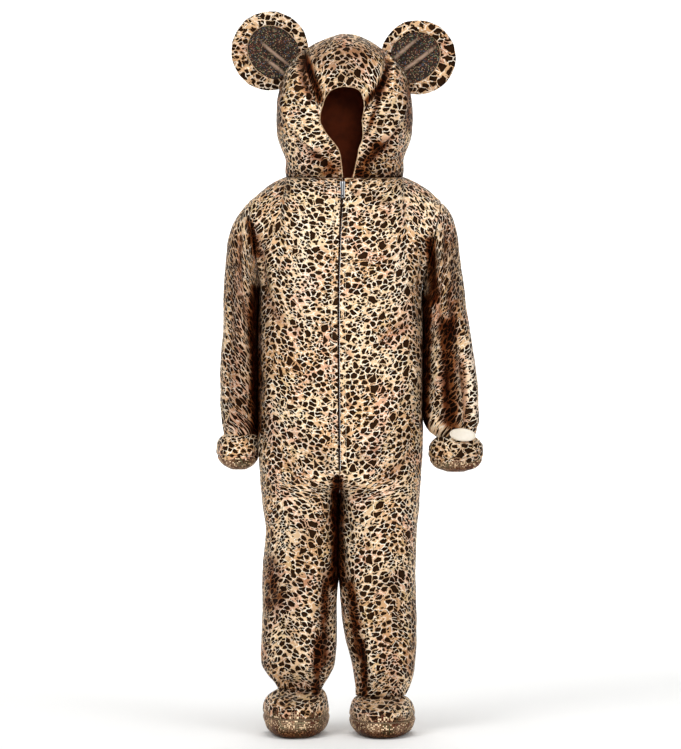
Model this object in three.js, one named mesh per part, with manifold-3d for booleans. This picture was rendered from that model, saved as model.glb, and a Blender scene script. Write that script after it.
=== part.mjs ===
// A child's hooded one-piece leopard-print suit with ears, mitts and foot covers, filled out and empty.
// Millimetres, +Z up, front towards -Y. Left and right are as seen from the front, left at -X.
// The origin lies level with the tops of the shoulders, where the wearer carries the suit.
import * as THREE from 'three';
import { mergeVertices } from 'three/addons/utils/BufferGeometryUtils.js';
import Module from 'manifold-3d';

const wasm = await Module();
wasm.setup();

// Driving dimensions
const CLOTH = 1.6;
const LINING_CLOTH = 1.2;
const SEAM = 0.34;
const CHEST_Z = -128;
const CROTCH_TOP_Z = -395;
const CROTCH_Z = -452;
const QUARTER_COLUMNS = 10;
const SLEEVE_COLUMNS = 20;
const YOKE_STEPS = [0, 0.1, 0.22, 0.36, 0.52, 0.68, 0.84, 1];
const RING_LEVELS = [-160, -200, -245, -290, -335, -370, -395, -412, -427, -439, -447, -452,
  -490, -535, -580, -625, -665, -694, -712, -724, -732];
const ANKLE_START_Z = -690;
const ANKLE_END_Z = -732;
const RIGHT_ANKLE_END_Z = -742;

// Elastic gathers: their wave, and how far it runs from the ankle in mm and from wrists and pouches in rows
const GATHER_WAVE = 2.2;
const ANKLE_GATHER_HEIGHT = 13;
const WRIST_GATHER_ROWS = 0.6;
const POUCH_GATHER_ROWS = 0.7;

// Neck ring: centre x, half width, reach to the front and back, and the heights there
const NECK = { x: 4.5, half: 88, front: 76, back: 70, zFront: 29, zBack: 40 };
// Where the shoulder seam meets the neck ring, as an angle from the front centre
const NECK_SIDE_ANGLE = 1.64;
// The share of a body piece's top edge that is neckline
const NECKLINE_SHARE = 0.62;
const SHOULDER = { left: { x: -140, z: -4 }, right: { x: 150, z: -4 }, y: 5 };
// The yoke: how high the shoulder seam arches, how far the cloth swells out over the chest and at the
// armhole, with the powers that spread each swell, and how square and how centred it falls
const YOKE = {
  seamArch: 5, chest: 28, chestPower: 2, armhole: 32, armholePower: 10,
  squareness: 0.3, squarePower: 8, centrePower: 4,
};

// Body rings from the chest down: reach to the left, right, front and back, and squareness
const BODY = [
  { z: -128, left: 121, right: 121, front: 90, back: 78, square: 0.58 },
  { z: -200, left: 124, right: 123, front: 89, back: 78, square: 0.74 },
  { z: -290, left: 124, right: 123, front: 90, back: 82, square: 0.8 },
  { z: -370, left: 124, right: 121, front: 90, back: 90, square: 0.82 },
  { z: -452, left: 119, right: 117, front: 78, back: 82, square: 0.86 },
  { z: -495, left: 114, right: 113, front: 69, back: 70, square: 0.88 },
  { z: -560, left: 118, right: 111, front: 63, back: 62, square: 0.88 },
  { z: -640, left: 119, right: 113, front: 60, back: 56, square: 0.88 },
  { z: -694, left: 120, right: 110, front: 56, back: 50, square: 0.9 },
  { z: -712, left: 110, right: 107, front: 47, back: 44, square: 0.95 },
  { z: -724, left: 100, right: 101, front: 37, back: 36, square: 1 },
  { z: -732, left: 95, right: 95, front: 32, back: 32, square: 1 },
];

// The inner edge of each half: the zip line, the centre seam, then the inseams
const INNER = [
  { z: 40, left: 4.5, right: 4.5 },
  { z: 10, left: 1.5, right: 1.5 },
  { z: -60, left: -2.3, right: -2.3 },
  { z: -150, left: -4.4, right: -4.4 },
  { z: -300, left: -3.9, right: -3.9 },
  { z: -400, left: -3, right: -3 },
  { z: -452, left: -3.9, right: -2.3 },
  { z: -565, left: -5.5, right: -2.8 },
  { z: -618, left: -7.5, right: 0 },
  { z: -654, left: -7, right: 6 },
  { z: -694, left: -10, right: 16 },
  { z: -712, left: -17, right: 19 },
  { z: -724, left: -25, right: 21.5 },
  { z: -732, left: -29, right: 22 },
];

// Soft folds of the body pieces: from and to, as share of the way round and height, width and depth.
// A negative depth is a trough.
const BODY_FOLDS = [
  { side: -1, face: -1, u0: 0.93, z0: -50, u1: 0.8, z1: -135, width: 11, depth: -5 },
  { side: -1, face: -1, u0: 0.75, z0: -150, u1: 0.35, z1: -205, width: 14, depth: -3.5 },
  { side: -1, face: -1, u0: 0.3, z0: -235, u1: 0.75, z1: -300, width: 16, depth: 3 },
  { side: -1, face: -1, u0: 0.8, z0: -350, u1: 0.4, z1: -400, width: 13, depth: -3.5 },
  { side: -1, face: -1, u0: 0.55, z0: -480, u1: 0.45, z1: -640, width: 15, depth: 4 },
  { side: -1, face: -1, u0: 0.2, z0: -560, u1: 0.22, z1: -690, width: 11, depth: -4 },
  { side: 1, face: -1, u0: 0.93, z0: -45, u1: 0.85, z1: -130, width: 11, depth: -5 },
  { side: 1, face: -1, u0: 0.8, z0: -170, u1: 0.3, z1: -215, width: 14, depth: -3 },
  { side: 1, face: -1, u0: 0.7, z0: -260, u1: 0.3, z1: -330, width: 16, depth: 3 },
  { side: 1, face: -1, u0: 0.7, z0: -380, u1: 0.35, z1: -415, width: 13, depth: -3.5 },
  { side: 1, face: -1, u0: 0.5, z0: -470, u1: 0.55, z1: -620, width: 15, depth: 4 },
  { side: 1, face: -1, u0: 0.15, z0: -520, u1: 0.2, z1: -690, width: 10, depth: -4 },
  { side: -1, face: 1, u0: 0.9, z0: -70, u1: 0.5, z1: -150, width: 14, depth: -4 },
  { side: 1, face: 1, u0: 0.9, z0: -60, u1: 0.5, z1: -160, width: 14, depth: -4 },
  { side: -1, face: 1, u0: 0.7, z0: -420, u1: 0.3, z1: -470, width: 14, depth: -4 },
  { side: 1, face: 1, u0: 0.6, z0: -410, u1: 0.3, z1: -480, width: 14, depth: -4 },
  { side: -1, face: 1, u0: 0.4, z0: -520, u1: 0.5, z1: -670, width: 14, depth: 4 },
  { side: 1, face: 1, u0: 0.5, z0: -500, u1: 0.4, z1: -660, width: 14, depth: 4 },
];
// The girth that one share of the way round stands for, and the height over which folds set in at the neck
const GIRTH_STEP = 165;
const NECK_FOLD_FADE = 40;

// Sleeve rings from the armhole to the wrist: the inner and outer point and the depths
const SLEEVE_LEFT = [
  { row: 0, innerX: -121, innerZ: -128, outerX: -140, outerZ: -4, front: 58, back: 58 },
  { row: 1, innerX: -124.5, innerZ: -134, outerX: -153, outerZ: -20, front: 58, back: 58 },
  { row: 2, innerX: -127, innerZ: -142, outerX: -165, outerZ: -42, front: 57, back: 57 },
  { row: 3, innerX: -128.5, innerZ: -154, outerX: -172, outerZ: -70, front: 56, back: 55 },
  { row: 4, innerX: -129, innerZ: -170, outerX: -175, outerZ: -104, front: 55, back: 53 },
  { row: 5, innerX: -129, innerZ: -195, outerX: -176, outerZ: -148, front: 54, back: 51 },
  { row: 6, innerX: -129, innerZ: -226, outerX: -178, outerZ: -192, front: 53, back: 48 },
  { row: 7, innerX: -129, innerZ: -260, outerX: -181, outerZ: -240, front: 52, back: 45 },
  { row: 8, innerX: -129, innerZ: -294, outerX: -182, outerZ: -286, front: 50, back: 41 },
  { row: 9, innerX: -129.5, innerZ: -322, outerX: -180, outerZ: -322, front: 46, back: 36 },
  { row: 10, innerX: -131, innerZ: -339, outerX: -178, outerZ: -340, front: 38, back: 30 },
  { row: 11, innerX: -134, innerZ: -350, outerX: -176, outerZ: -351, front: 31, back: 25 },
];
const SLEEVE_RIGHT = [
  { row: 0, innerX: 121, innerZ: -128, outerX: 150, outerZ: -4, front: 58, back: 58 },
  { row: 1, innerX: 124.5, innerZ: -134, outerX: 162, outerZ: -18, front: 58, back: 58 },
  { row: 2, innerX: 126.5, innerZ: -142, outerX: 171, outerZ: -40, front: 57, back: 57 },
  { row: 3, innerX: 127.5, innerZ: -154, outerX: 176, outerZ: -68, front: 56, back: 55 },
  { row: 4, innerX: 128, innerZ: -170, outerX: 179, outerZ: -102, front: 54, back: 53 },
  { row: 5, innerX: 128, innerZ: -195, outerX: 185, outerZ: -146, front: 53, back: 50 },
  { row: 6, innerX: 128, innerZ: -226, outerX: 192, outerZ: -192, front: 52, back: 47 },
  { row: 7, innerX: 128, innerZ: -260, outerX: 199, outerZ: -240, front: 51, back: 44 },
  { row: 8, innerX: 128, innerZ: -294, outerX: 205, outerZ: -288, front: 49, back: 41 },
  { row: 9, innerX: 128.5, innerZ: -328, outerX: 206, outerZ: -322, front: 46, back: 38 },
  { row: 10, innerX: 132, innerZ: -346, outerX: 204, outerZ: -342, front: 38, back: 32 },
  { row: 11, innerX: 143, innerZ: -355, outerX: 200, outerZ: -354, front: 30, back: 25 },
];
const SLEEVE_ROWS = [0, 1, 2, 3, 4, 5, 6, 7, 8, 9, 10, 10.6, 11];
const SLEEVE_LAST_ROW = 11;
// Over how many rows a sleeve turns from the armhole's section to its own, and how round each section is
const ARMHOLE_BLEND_ROWS = 4;
const SLEEVE_ROUND = { armhole: 0.7, arm: 0.92 };

// Soft folds of the sleeves, as turn round (0 at the top, 0.25 at the front) and row
const SLEEVE_FOLDS = [
  { side: -1, t0: 0.2, row0: 1.5, t1: 0.3, row1: 4.5, width: 12, depth: -4 },
  { side: -1, t0: 0.16, row0: 5, t1: 0.14, row1: 9, width: 10, depth: -3.5 },
  { side: -1, t0: 0.28, row0: 5.5, t1: 0.24, row1: 8.5, width: 11, depth: 3.5 },
  { side: -1, t0: 0.75, row0: 3, t1: 0.7, row1: 8, width: 12, depth: -3.5 },
  { side: 1, t0: 0.2, row0: 1.5, t1: 0.3, row1: 4.5, width: 12, depth: -4 },
  { side: 1, t0: 0.2, row0: 4.5, t1: 0.16, row1: 9.5, width: 10, depth: -5 },
  { side: 1, t0: 0.3, row0: 5, t1: 0.29, row1: 9.5, width: 9, depth: -5 },
  { side: 1, t0: 0.25, row0: 6, t1: 0.23, row1: 9.5, width: 9, depth: 4 },
  { side: 1, t0: 0.1, row0: 6, t1: 0.08, row1: 9.5, width: 10, depth: 3.5 },
  { side: 1, t0: 0.75, row0: 4, t1: 0.72, row1: 9, width: 12, depth: -3.5 },
];
const SLEEVE_GIRTH = 270;
const SLEEVE_LENGTH_STEP = 34;
const ARMHOLE_FOLD_ROWS = 1.5;

// Mitt rings from the wrist down: left and right edge, front and back reach
const MITT_LEFT = [
  { z: -351.2, left: -176, right: -134, front: 31, back: 25 },
  { z: -357, left: -183, right: -132, front: 37, back: 30 },
  { z: -366, left: -187, right: -130, front: 42, back: 35 },
  { z: -378, left: -187.5, right: -129, front: 43, back: 37 },
  { z: -389, left: -184, right: -131, front: 40, back: 34 },
  { z: -398, left: -177, right: -135, front: 32, back: 27 },
  { z: -404, left: -165, right: -143, front: 18, back: 14 },
];
const MITT_RIGHT = [
  { z: -355.6, left: 143, right: 200, front: 30, back: 25 },
  { z: -362, left: 135, right: 208, front: 35, back: 29 },
  { z: -371, left: 131, right: 212, front: 38, back: 32 },
  { z: -382, left: 131, right: 212, front: 38, back: 33 },
  { z: -393, left: 134, right: 209, front: 35, back: 30 },
  { z: -402, left: 142, right: 200, front: 28, back: 24 },
  { z: -407.5, left: 158, right: 184, front: 15, back: 12 },
];
const MITT_UPPER_ROWS = [0, 0.6, 1.4, 2.4, 3.4];
const MITT_TIP_ROWS = [3.4, 4, 5, 6];
const MITT_ROUND = 0.92;

// Foot cover rings from the ankle down: half width, toe and heel reach; z is below the ankle
const FOOT = [
  { z: -0.4, half: 33, toe: 32, heel: 32 },
  { z: -5, half: 40, toe: 46, heel: 40 },
  { z: -12, half: 45.5, toe: 68, heel: 47 },
  { z: -24, half: 48.5, toe: 92, heel: 52 },
  { z: -38, half: 49, toe: 104, heel: 55 },
  { z: -50, half: 46, toe: 106, heel: 54 },
  { z: -58, half: 39, toe: 99, heel: 48 },
  { z: -61, half: 30, toe: 88, heel: 40 },
];
const FOOT_UPPER_ROWS = [0, 0.6, 1.3, 2.4, 3.7];
const FOOT_SOLE_ROWS = [3.7, 4.8, 6, 7];
const FOOT_ROUND = { toe: 0.85, heel: 0.95 };
const FOOT_X = { left: -68, right: 61 };
const FOOT_ANKLE_X = { left: -62, right: 58.5 };
const FOOT_SHIFT_ROWS = 3;

// Hood arches from the face edge to the back of the neck: where the foot of the arch stands on the
// neck ring, its apex, its half width and how far the panel seams stand round it
const HOOD = [
  { row: 0, baseY: -75.2, apexY: -96, apexZ: 162, half: 31, seam: 0.42 },
  { row: 1, baseY: -72, apexY: -104, apexZ: 180, half: 58, seam: 0.35 },
  { row: 2, baseY: -63, apexY: -94, apexZ: 208, half: 82, seam: 0.31 },
  { row: 3, baseY: -50, apexY: -70, apexZ: 230, half: 95, seam: 0.3 },
  { row: 4, baseY: -33, apexY: -38, apexZ: 241, half: 101, seam: 0.3 },
  { row: 5, baseY: -14, apexY: 0, apexZ: 243, half: 102, seam: 0.31 },
  { row: 6, baseY: 4, apexY: 40, apexZ: 236, half: 101, seam: 0.32 },
  { row: 7, baseY: 19, apexY: 78, apexZ: 212, half: 100, seam: 0.34 },
  { row: 8, baseY: 31, apexY: 101, apexZ: 172, half: 97, seam: 0.36 },
  { row: 9, baseY: 39, apexY: 106, apexZ: 126, half: 91, seam: 0.39 },
  { row: 10, baseY: 43, apexY: 94, apexZ: 80, half: 81, seam: 0.42 },
  { row: 11, baseY: 45, apexY: 70.6, apexZ: 40.6, half: 68, seam: 0.45 },
];
const HOOD_ROWS = [0, 0.5, 1, 2, 3, 4, 5, 6, 7, 8, 9, 10, 11];
const HOOD_PANEL_COLUMNS = 10;
// How an arch climbs and leans forward, and how soon it leaves the neck ring
const HOOD_RISE = 0.8;
const HOOD_FORWARD = 0.9;
const HOOD_FOOT_RISE = 0.15;
// An arch is at least this much wider than its feet
const HOOD_FOOT_MARGIN = 0.1;
// The hood is drawn in a little above the neck: by what share, at what height, over what height and rows
const HOOD_PINCH = { share: 0.055, z: 60, spread: 20, rows: 3 };
// The foot of the face opening stands to the right of the middle, and its lean ends at this rise
const FACE_FOOT = { half: 8, x: 9.5, leanRise: 0.6 };
const FACE_WAVE = 1.8;
const FACE_WAVE_ROWS = 0.6;
const HOOD_FOLD_FADE = 25;
const HOOD_GIRTH = 230;
const HOOD_ROW_STEP = 32;
const HOOD_MIDDLE = new THREE.Vector3(NECK.x, 5, 115);
const HOOD_FOLDS = [
  { a0: -0.4, row0: 0.9, a1: -0.32, row1: 3.4, width: 10, depth: -7 },
  { a0: 0.4, row0: 0.9, a1: 0.32, row1: 3.2, width: 10, depth: -6 },
  { a0: 0, row0: 1.4, a1: 0.02, row1: 3.6, width: 26, depth: 5 },
  { a0: -0.75, row0: 1.8, a1: -0.92, row1: 0.6, width: 10, depth: -5 },
  { a0: 0.72, row0: 2, a1: 0.9, row1: 0.6, width: 10, depth: -5 },
  { a0: -0.62, row0: 2.6, a1: -0.8, row1: 1, width: 10, depth: 4 },
  { a0: 0.6, row0: 2.6, a1: 0.78, row1: 1, width: 10, depth: 4 },
  { a0: -0.2, row0: 7, a1: -0.3, row1: 10, width: 16, depth: -3.5 },
  { a0: 0.25, row0: 7, a1: 0.2, row1: 10, width: 16, depth: -3.5 },
];
const LINING_INSET = 12;
const LINING_EDGE_INSET = 3.9;
const LINING_INSET_ROWS = 1.5;
const LINING_ROWS = [0, 1, 2, 3.5, 5, 6.5, 8, 9.5, 11];

// Ears: centre and radii, the panel's centre and radii, and the angle at which the panel's pleats meet
const EARS = {
  left: {
    x: -107, y: -6, z: 223, radiusX: 58.5, radiusZ: 60,
    panelX: -101, panelZ: 219.5, panelRadiusX: 38, panelRadiusZ: 42, base: -0.56,
  },
  right: {
    x: 115, y: -6, z: 213.5, radiusX: 57, radiusZ: 56,
    panelX: 108, panelZ: 212, panelRadiusX: 38, panelRadiusZ: 40, base: 3.7,
  },
};
const EAR_COLUMNS = 18;
const EAR_HALF_THICK = 8;
const EAR_EDGE_ROUND = 12;
const EAR_EDGE_SHARES = [0, 0.35, 0.7, 1];
// The back's crown: how far in it stands, and how proud it is there and in the middle
const EAR_CROWN = { share: 0.65, edge: 1.5, middle: 2 };
const EAR_LIP = 0.6;
const EAR_PANEL_SHARES = [0, 0.25, 0.55, 1];
const EAR_DISH = 3;
const EAR_PLEAT = { height: 2.6, offset: 0.42, spread: 0.3 };

// Zip. Each tape covers a share of the first column of its front piece and starts below its top.
const TAPE = { thick: 0.8, gap: 0.45, share: 0.85, drop: 2 };
const CHAIN = { width: 2.5, thick: 1.5, bottom: -400 };
const ZIP_GAP = 3.3;
const SLIDER = {
  z: 14.4, standoff: 0.5, tilt: 0.2, width: 8.6, top: 9.6, bottom: 3.4, plate: 1.2, window: 0.85,
  cornerDrop: 2.5, cornerInset: 2.4, taper: 0.62,
};
// The bridge over the tab's bar: its legs, the slope of its back and the window under its roof
const BRIDGE = {
  width: 1.7, thick: 0.9, legBottom: 2.2, legTop: 1.1, top: 7.4,
  embed: 0.4, backRise: 1.2, slopeRise: 0.4, slopeInset: 0.9, shoulderDrop: 1.4, chamfer: 0.5, roof: 1,
};
const TAB = {
  width: 5.8, thick: 0.9, length: 16.5, bar: 0.55, barShare: 0.8, flare: 2,
  eyeHalf: 1.25, eyeBottom: 4, holeRadius: 1.3, holeDrop: 12.8,
};
const CORNER_SEGMENTS = 4;
const ROUND_SEGMENTS = 10;

// Oval patch at the right wrist
const PATCH = { x: 180.5, z: -351.5, y: 41.7, halfX: 19.5, halfZ: 9.5, thick: 1.2, tilt: 0.08, wrap: 60 };
const PATCH_COLUMNS = 20;
const PATCH_SHARES = [1, 0.5, 0];

// Points closer than this are one corner of a mesh
const WELD = 1e-3;
const FINE_WELD = 1e-4;

const MATERIALS = {
  leopard: new THREE.MeshStandardMaterial({ color: 0xc49a66, roughness: 0.45, metalness: 0.1 }),
  foil: new THREE.MeshStandardMaterial({ color: 0x6a4a30, roughness: 0.4, metalness: 0.4 }),
  glitter: new THREE.MeshStandardMaterial({ color: 0x2c2418, roughness: 0.4, metalness: 0.4 }),
  lining: new THREE.MeshStandardMaterial({ color: 0x45200c, roughness: 0.8, metalness: 0 }),
  tape: new THREE.MeshStandardMaterial({ color: 0x3a2414, roughness: 0.8, metalness: 0 }),
  metal: new THREE.MeshStandardMaterial({ color: 0x9a9a9c, roughness: 0.3, metalness: 0.9 }),
  cream: new THREE.MeshStandardMaterial({ color: 0xf1e8da, roughness: 0.7, metalness: 0 }),
};

const vector = (x, y, z) => new THREE.Vector3(x, y, z);
const mix = (a, b, share) => a + (b - a) * share;
const sideName = (side) => (side < 0 ? 'left' : 'right');
const range = (count) => Array.from({ length: count }, (_, index) => index);

function smooth(value) {
  const share = Math.min(Math.max(value, 0), 1);
  return share * share * (3 - 2 * share);
}

// Monotone cubic interpolation of one column of a table, along another
function sample(rows, along, key, value) {
  const step = (i) => (rows[i + 1][key] - rows[i][key]) / (rows[i + 1][along] - rows[i][along]);
  const slope = (i) => {
    if (i === 0) return step(0);
    if (i === rows.length - 1) return step(i - 1);
    const before = step(i - 1);
    const after = step(i);
    return before * after <= 0 ? 0 : (2 * before * after) / (before + after);
  };
  const direction = Math.sign(rows[1][along] - rows[0][along]);
  let i = 0;
  while (i < rows.length - 2 && (value - rows[i + 1][along]) * direction > 0) i += 1;
  const span = rows[i + 1][along] - rows[i][along];
  const s = Math.min(Math.max((value - rows[i][along]) / span, 0), 1);
  const start = rows[i][key] * (1 + 2 * s) * (1 - s) ** 2 + slope(i) * span * s * (1 - s) ** 2;
  const end = rows[i + 1][key] * s * s * (3 - 2 * s) + slope(i + 1) * span * s * s * (s - 1);
  return start + end;
}

// How deep a soft fold is at a point, all three in the fold's own flat measure
function foldDepth(fold, from, to, at) {
  const along = to.clone().sub(from);
  const share = Math.min(Math.max(at.clone().sub(from).dot(along) / along.lengthSq(), 0), 1);
  const distance = at.distanceTo(from.clone().addScaledVector(along, share));
  return fold.depth * Math.exp(-((distance / fold.width) ** 2));
}

// A closed wall between a grid of outer points and the same points moved in along their normals
function clothWall(points, normals, thickness, wrap = false) {
  const inner = points.map((row, r) => row.map((p, c) => (
    p.clone().addScaledVector(normals[r][c], -thickness))));
  return wallBetween(points, inner, wrap);
}

function wallBetween(outer, inner, wrap) {
  const triangles = [];
  const quad = (a, b, c, d) => triangles.push([a, b, c], [a, c, d]);
  const rows = outer.length;
  const columns = outer[0].length;
  const cells = wrap ? columns : columns - 1;
  for (let r = 0; r < rows - 1; r += 1) {
    for (let c = 0; c < cells; c += 1) {
      const next = (c + 1) % columns;
      quad(outer[r][c], outer[r][next], outer[r + 1][next], outer[r + 1][c]);
      quad(inner[r][c], inner[r + 1][c], inner[r + 1][next], inner[r][next]);
    }
  }
  const last = rows - 1;
  for (let c = 0; c < cells; c += 1) {
    const next = (c + 1) % columns;
    quad(outer[0][next], outer[0][c], inner[0][c], inner[0][next]);
    quad(outer[last][c], outer[last][next], inner[last][next], inner[last][c]);
  }
  if (!wrap) {
    const end = columns - 1;
    for (let r = 0; r < last; r += 1) {
      quad(outer[r][0], outer[r + 1][0], inner[r + 1][0], inner[r][0]);
      quad(outer[r + 1][end], outer[r][end], inner[r][end], inner[r + 1][end]);
    }
  }
  return solidFrom(triangles);
}

// One closed geometry with its faces out, from triangles of points
function solidFrom(triangles) {
  const positions = triangles.flatMap((triangle) => triangle.flatMap((p) => [p.x, p.y, p.z]));
  const loose = new THREE.BufferGeometry();
  loose.setAttribute('position', new THREE.Float32BufferAttribute(positions, 3));
  const geometry = mergeVertices(loose, WELD);
  const index = geometry.index.array;
  const kept = [];
  for (let i = 0; i < index.length; i += 3) {
    const [a, b, c] = [index[i], index[i + 1], index[i + 2]];
    if (a !== b && b !== c && c !== a) kept.push(a, b, c);
  }
  const position = geometry.getAttribute('position');
  const corner = (i) => vector().fromBufferAttribute(position, i);
  let volume = 0;
  for (let i = 0; i < kept.length; i += 3) {
    volume += corner(kept[i]).dot(corner(kept[i + 1]).cross(corner(kept[i + 2])));
  }
  if (volume < 0) kept.reverse();
  geometry.setIndex(kept);
  return geometry;
}

// Unit normals of a grid that point away from a place, or towards a direction. Ghost points past the
// edges may be given by pointAt.
function gridNormals(points, { wrap = false, pointAt = () => null, away = null, towards = null }) {
  const rows = points.length;
  const columns = points[0].length;
  const get = (r, c) => {
    if (r < 0 || r >= rows) return null;
    if (c >= 0 && c < columns) return points[r][c];
    return wrap ? points[r][(c + columns) % columns] : pointAt(r, c);
  };
  const difference = (before, here, after) => (after ?? here).clone().sub(before ?? here);
  return points.map((row, r) => row.map((p, c) => {
    const across = difference(get(r, c - 1), p, get(r, c + 1));
    const down = difference(get(r - 1, c), p, get(r + 1, c));
    const normal = across.cross(down).normalize();
    const outward = towards ?? p.clone().sub(typeof away === 'function' ? away(r) : away);
    return normal.dot(outward) < 0 ? normal.negate() : normal;
  }));
}

function cut(grid, rowFrom, rowTo, columnFrom, columnTo) {
  return grid.slice(rowFrom, rowTo + 1).map((row) => row.slice(columnFrom, columnTo + 1));
}

// Draws the named edges of a grid in, so that neighbouring pieces stay a seam apart
function drawIn(points, edges) {
  const moved = points.map((row) => row.map((p) => p.clone()));
  const shift = (target, p, neighbour, amount) => {
    target.addScaledVector(neighbour.clone().sub(p).normalize(), amount);
  };
  const lastRow = points.length - 1;
  points.forEach((row, r) => {
    const lastColumn = row.length - 1;
    if (edges.first) shift(moved[r][0], row[0], row[1], edges.first);
    if (edges.last) shift(moved[r][lastColumn], row[lastColumn], row[lastColumn - 1], edges.last);
  });
  points[0].forEach((p, c) => {
    if (edges.top) shift(moved[0][c], p, points[1][c], edges.top);
    if (edges.bottom) shift(moved[lastRow][c], points[lastRow][c], points[lastRow - 1][c], edges.bottom);
  });
  return moved;
}

// Takes the part along an axis out of a normal, so that rims at a seam stay parallel
function flatten(normal, axis) {
  normal.addScaledVector(axis, -normal.dot(axis)).normalize();
}

// Body

function neckPoint(side, angle) {
  const reach = angle < Math.PI / 2 ? NECK.front : NECK.back;
  const y = -reach * Math.cos(angle);
  const x = NECK.x + side * NECK.half * Math.sin(angle);
  return vector(x, y, neckHeight(y));
}

function neckHeight(y) {
  return mix(NECK.zFront, NECK.zBack, (y + NECK.front) / (NECK.front + NECK.back));
}

const neckPlaneNormal = vector(0, NECK.zFront - NECK.zBack, NECK.front + NECK.back).normalize();

// A body ring: u runs from the centre or inseam at 0 to the side at 1
function ringPoint(side, face, u, z) {
  const outer = side * sample(BODY, 'z', sideName(side), z);
  const inner = sample(INNER, 'z', sideName(side), z);
  const closing = smooth((CROTCH_TOP_Z - z) / (CROTCH_TOP_Z - CROTCH_Z));
  const endAngle = (Math.PI / 2) * Math.cos((closing * Math.PI) / 2);
  const radius = Math.abs(outer - inner) / (1 + Math.cos(endAngle));
  const angle = mix(endAngle, Math.PI, u);
  const x = outer - side * radius * (1 + Math.cos(angle));
  const depth = sample(BODY, 'z', face < 0 ? 'front' : 'back', z);
  const square = sample(BODY, 'z', 'square', z);
  const y = face * depth * Math.abs(Math.sin(angle)) ** square;
  return vector(x, y, ankleLevel(side, z));
}

// The right leg is a little longer than the left
function ankleLevel(side, z) {
  if (side < 0 || z > ANKLE_START_Z) return z;
  const stretch = (ANKLE_START_Z - RIGHT_ANKLE_END_Z) / (ANKLE_START_Z - ANKLE_END_Z);
  return ANKLE_START_Z + (z - ANKLE_START_Z) * stretch;
}

// The upper body, from the neckline and shoulder seam (v = 0) to the chest ring (v = 1)
function yokePoint(side, face, u, v) {
  const sideAngle = face < 0 ? NECK_SIDE_ANGLE : Math.PI - NECK_SIDE_ANGLE;
  const neckAngle = Math.min(u / NECKLINE_SHARE, 1) * sideAngle;
  const top = neckPoint(side, face < 0 ? neckAngle : Math.PI - neckAngle);
  const past = Math.max((u - NECKLINE_SHARE) / (1 - NECKLINE_SHARE), 0);
  const tip = SHOULDER[sideName(side)];
  top.lerp(vector(tip.x, SHOULDER.y, tip.z), past);
  top.z += YOKE.seamArch * Math.sin(Math.PI * past);
  const bottom = ringPoint(side, face, u, CHEST_Z);
  const rise = Math.cos((v * Math.PI) / 2);
  const forward = Math.sin((v * Math.PI) / 2);
  const z = mix(bottom.z, top.z, rise);
  const x = mix(bottom.x, top.x, rise);
  const towardsInner = sample(INNER, 'z', 'left', z) - mix(ringPoint(side, face, 0, CHEST_Z).x, NECK.x, rise);
  const bulge = YOKE.chest * u ** YOKE.chestPower + YOKE.armhole * u ** YOKE.armholePower;
  const round = Math.sin(Math.PI * v) ** (1 - YOKE.squareness * u ** YOKE.squarePower);
  const y = mix(top.y, bottom.y, forward) + face * bulge * round;
  return vector(x + towardsInner * (1 - u) ** YOKE.centrePower, y, z);
}

const BODY_ROWS = [
  ...YOKE_STEPS.map((v) => ({ v })),
  ...RING_LEVELS.map((z) => ({ z })),
];

function bodyPoint(side, face, u, row) {
  if (row.z === undefined) return yokePoint(side, face, u, row.v);
  return ringPoint(side, face, u, row.z);
}

// The point one step past the centre or side, on whichever piece lies there
function bodyGhost(side, face, u, row) {
  if (row.z === undefined && u < 0) return bodyPoint(-side, face, -u, row);
  if (row.z === undefined && row.v < 1) return null;
  if (u > 1) return bodyPoint(side, -face, 2 - u, row);
  if (row.z >= CROTCH_TOP_Z) return bodyPoint(-side, face, -u, row);
  return row.z <= CROTCH_Z ? bodyPoint(side, -face, -u, row) : null;
}

function bodyFolds(side, face, u, z) {
  const at = new THREE.Vector2(u * GIRTH_STEP, z);
  return BODY_FOLDS.filter((fold) => fold.side === side && fold.face === face).reduce((sum, fold) => {
    const from = new THREE.Vector2(fold.u0 * GIRTH_STEP, fold.z0);
    const to = new THREE.Vector2(fold.u1 * GIRTH_STEP, fold.z1);
    return sum + foldDepth(fold, from, to, at);
  }, 0);
}

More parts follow.
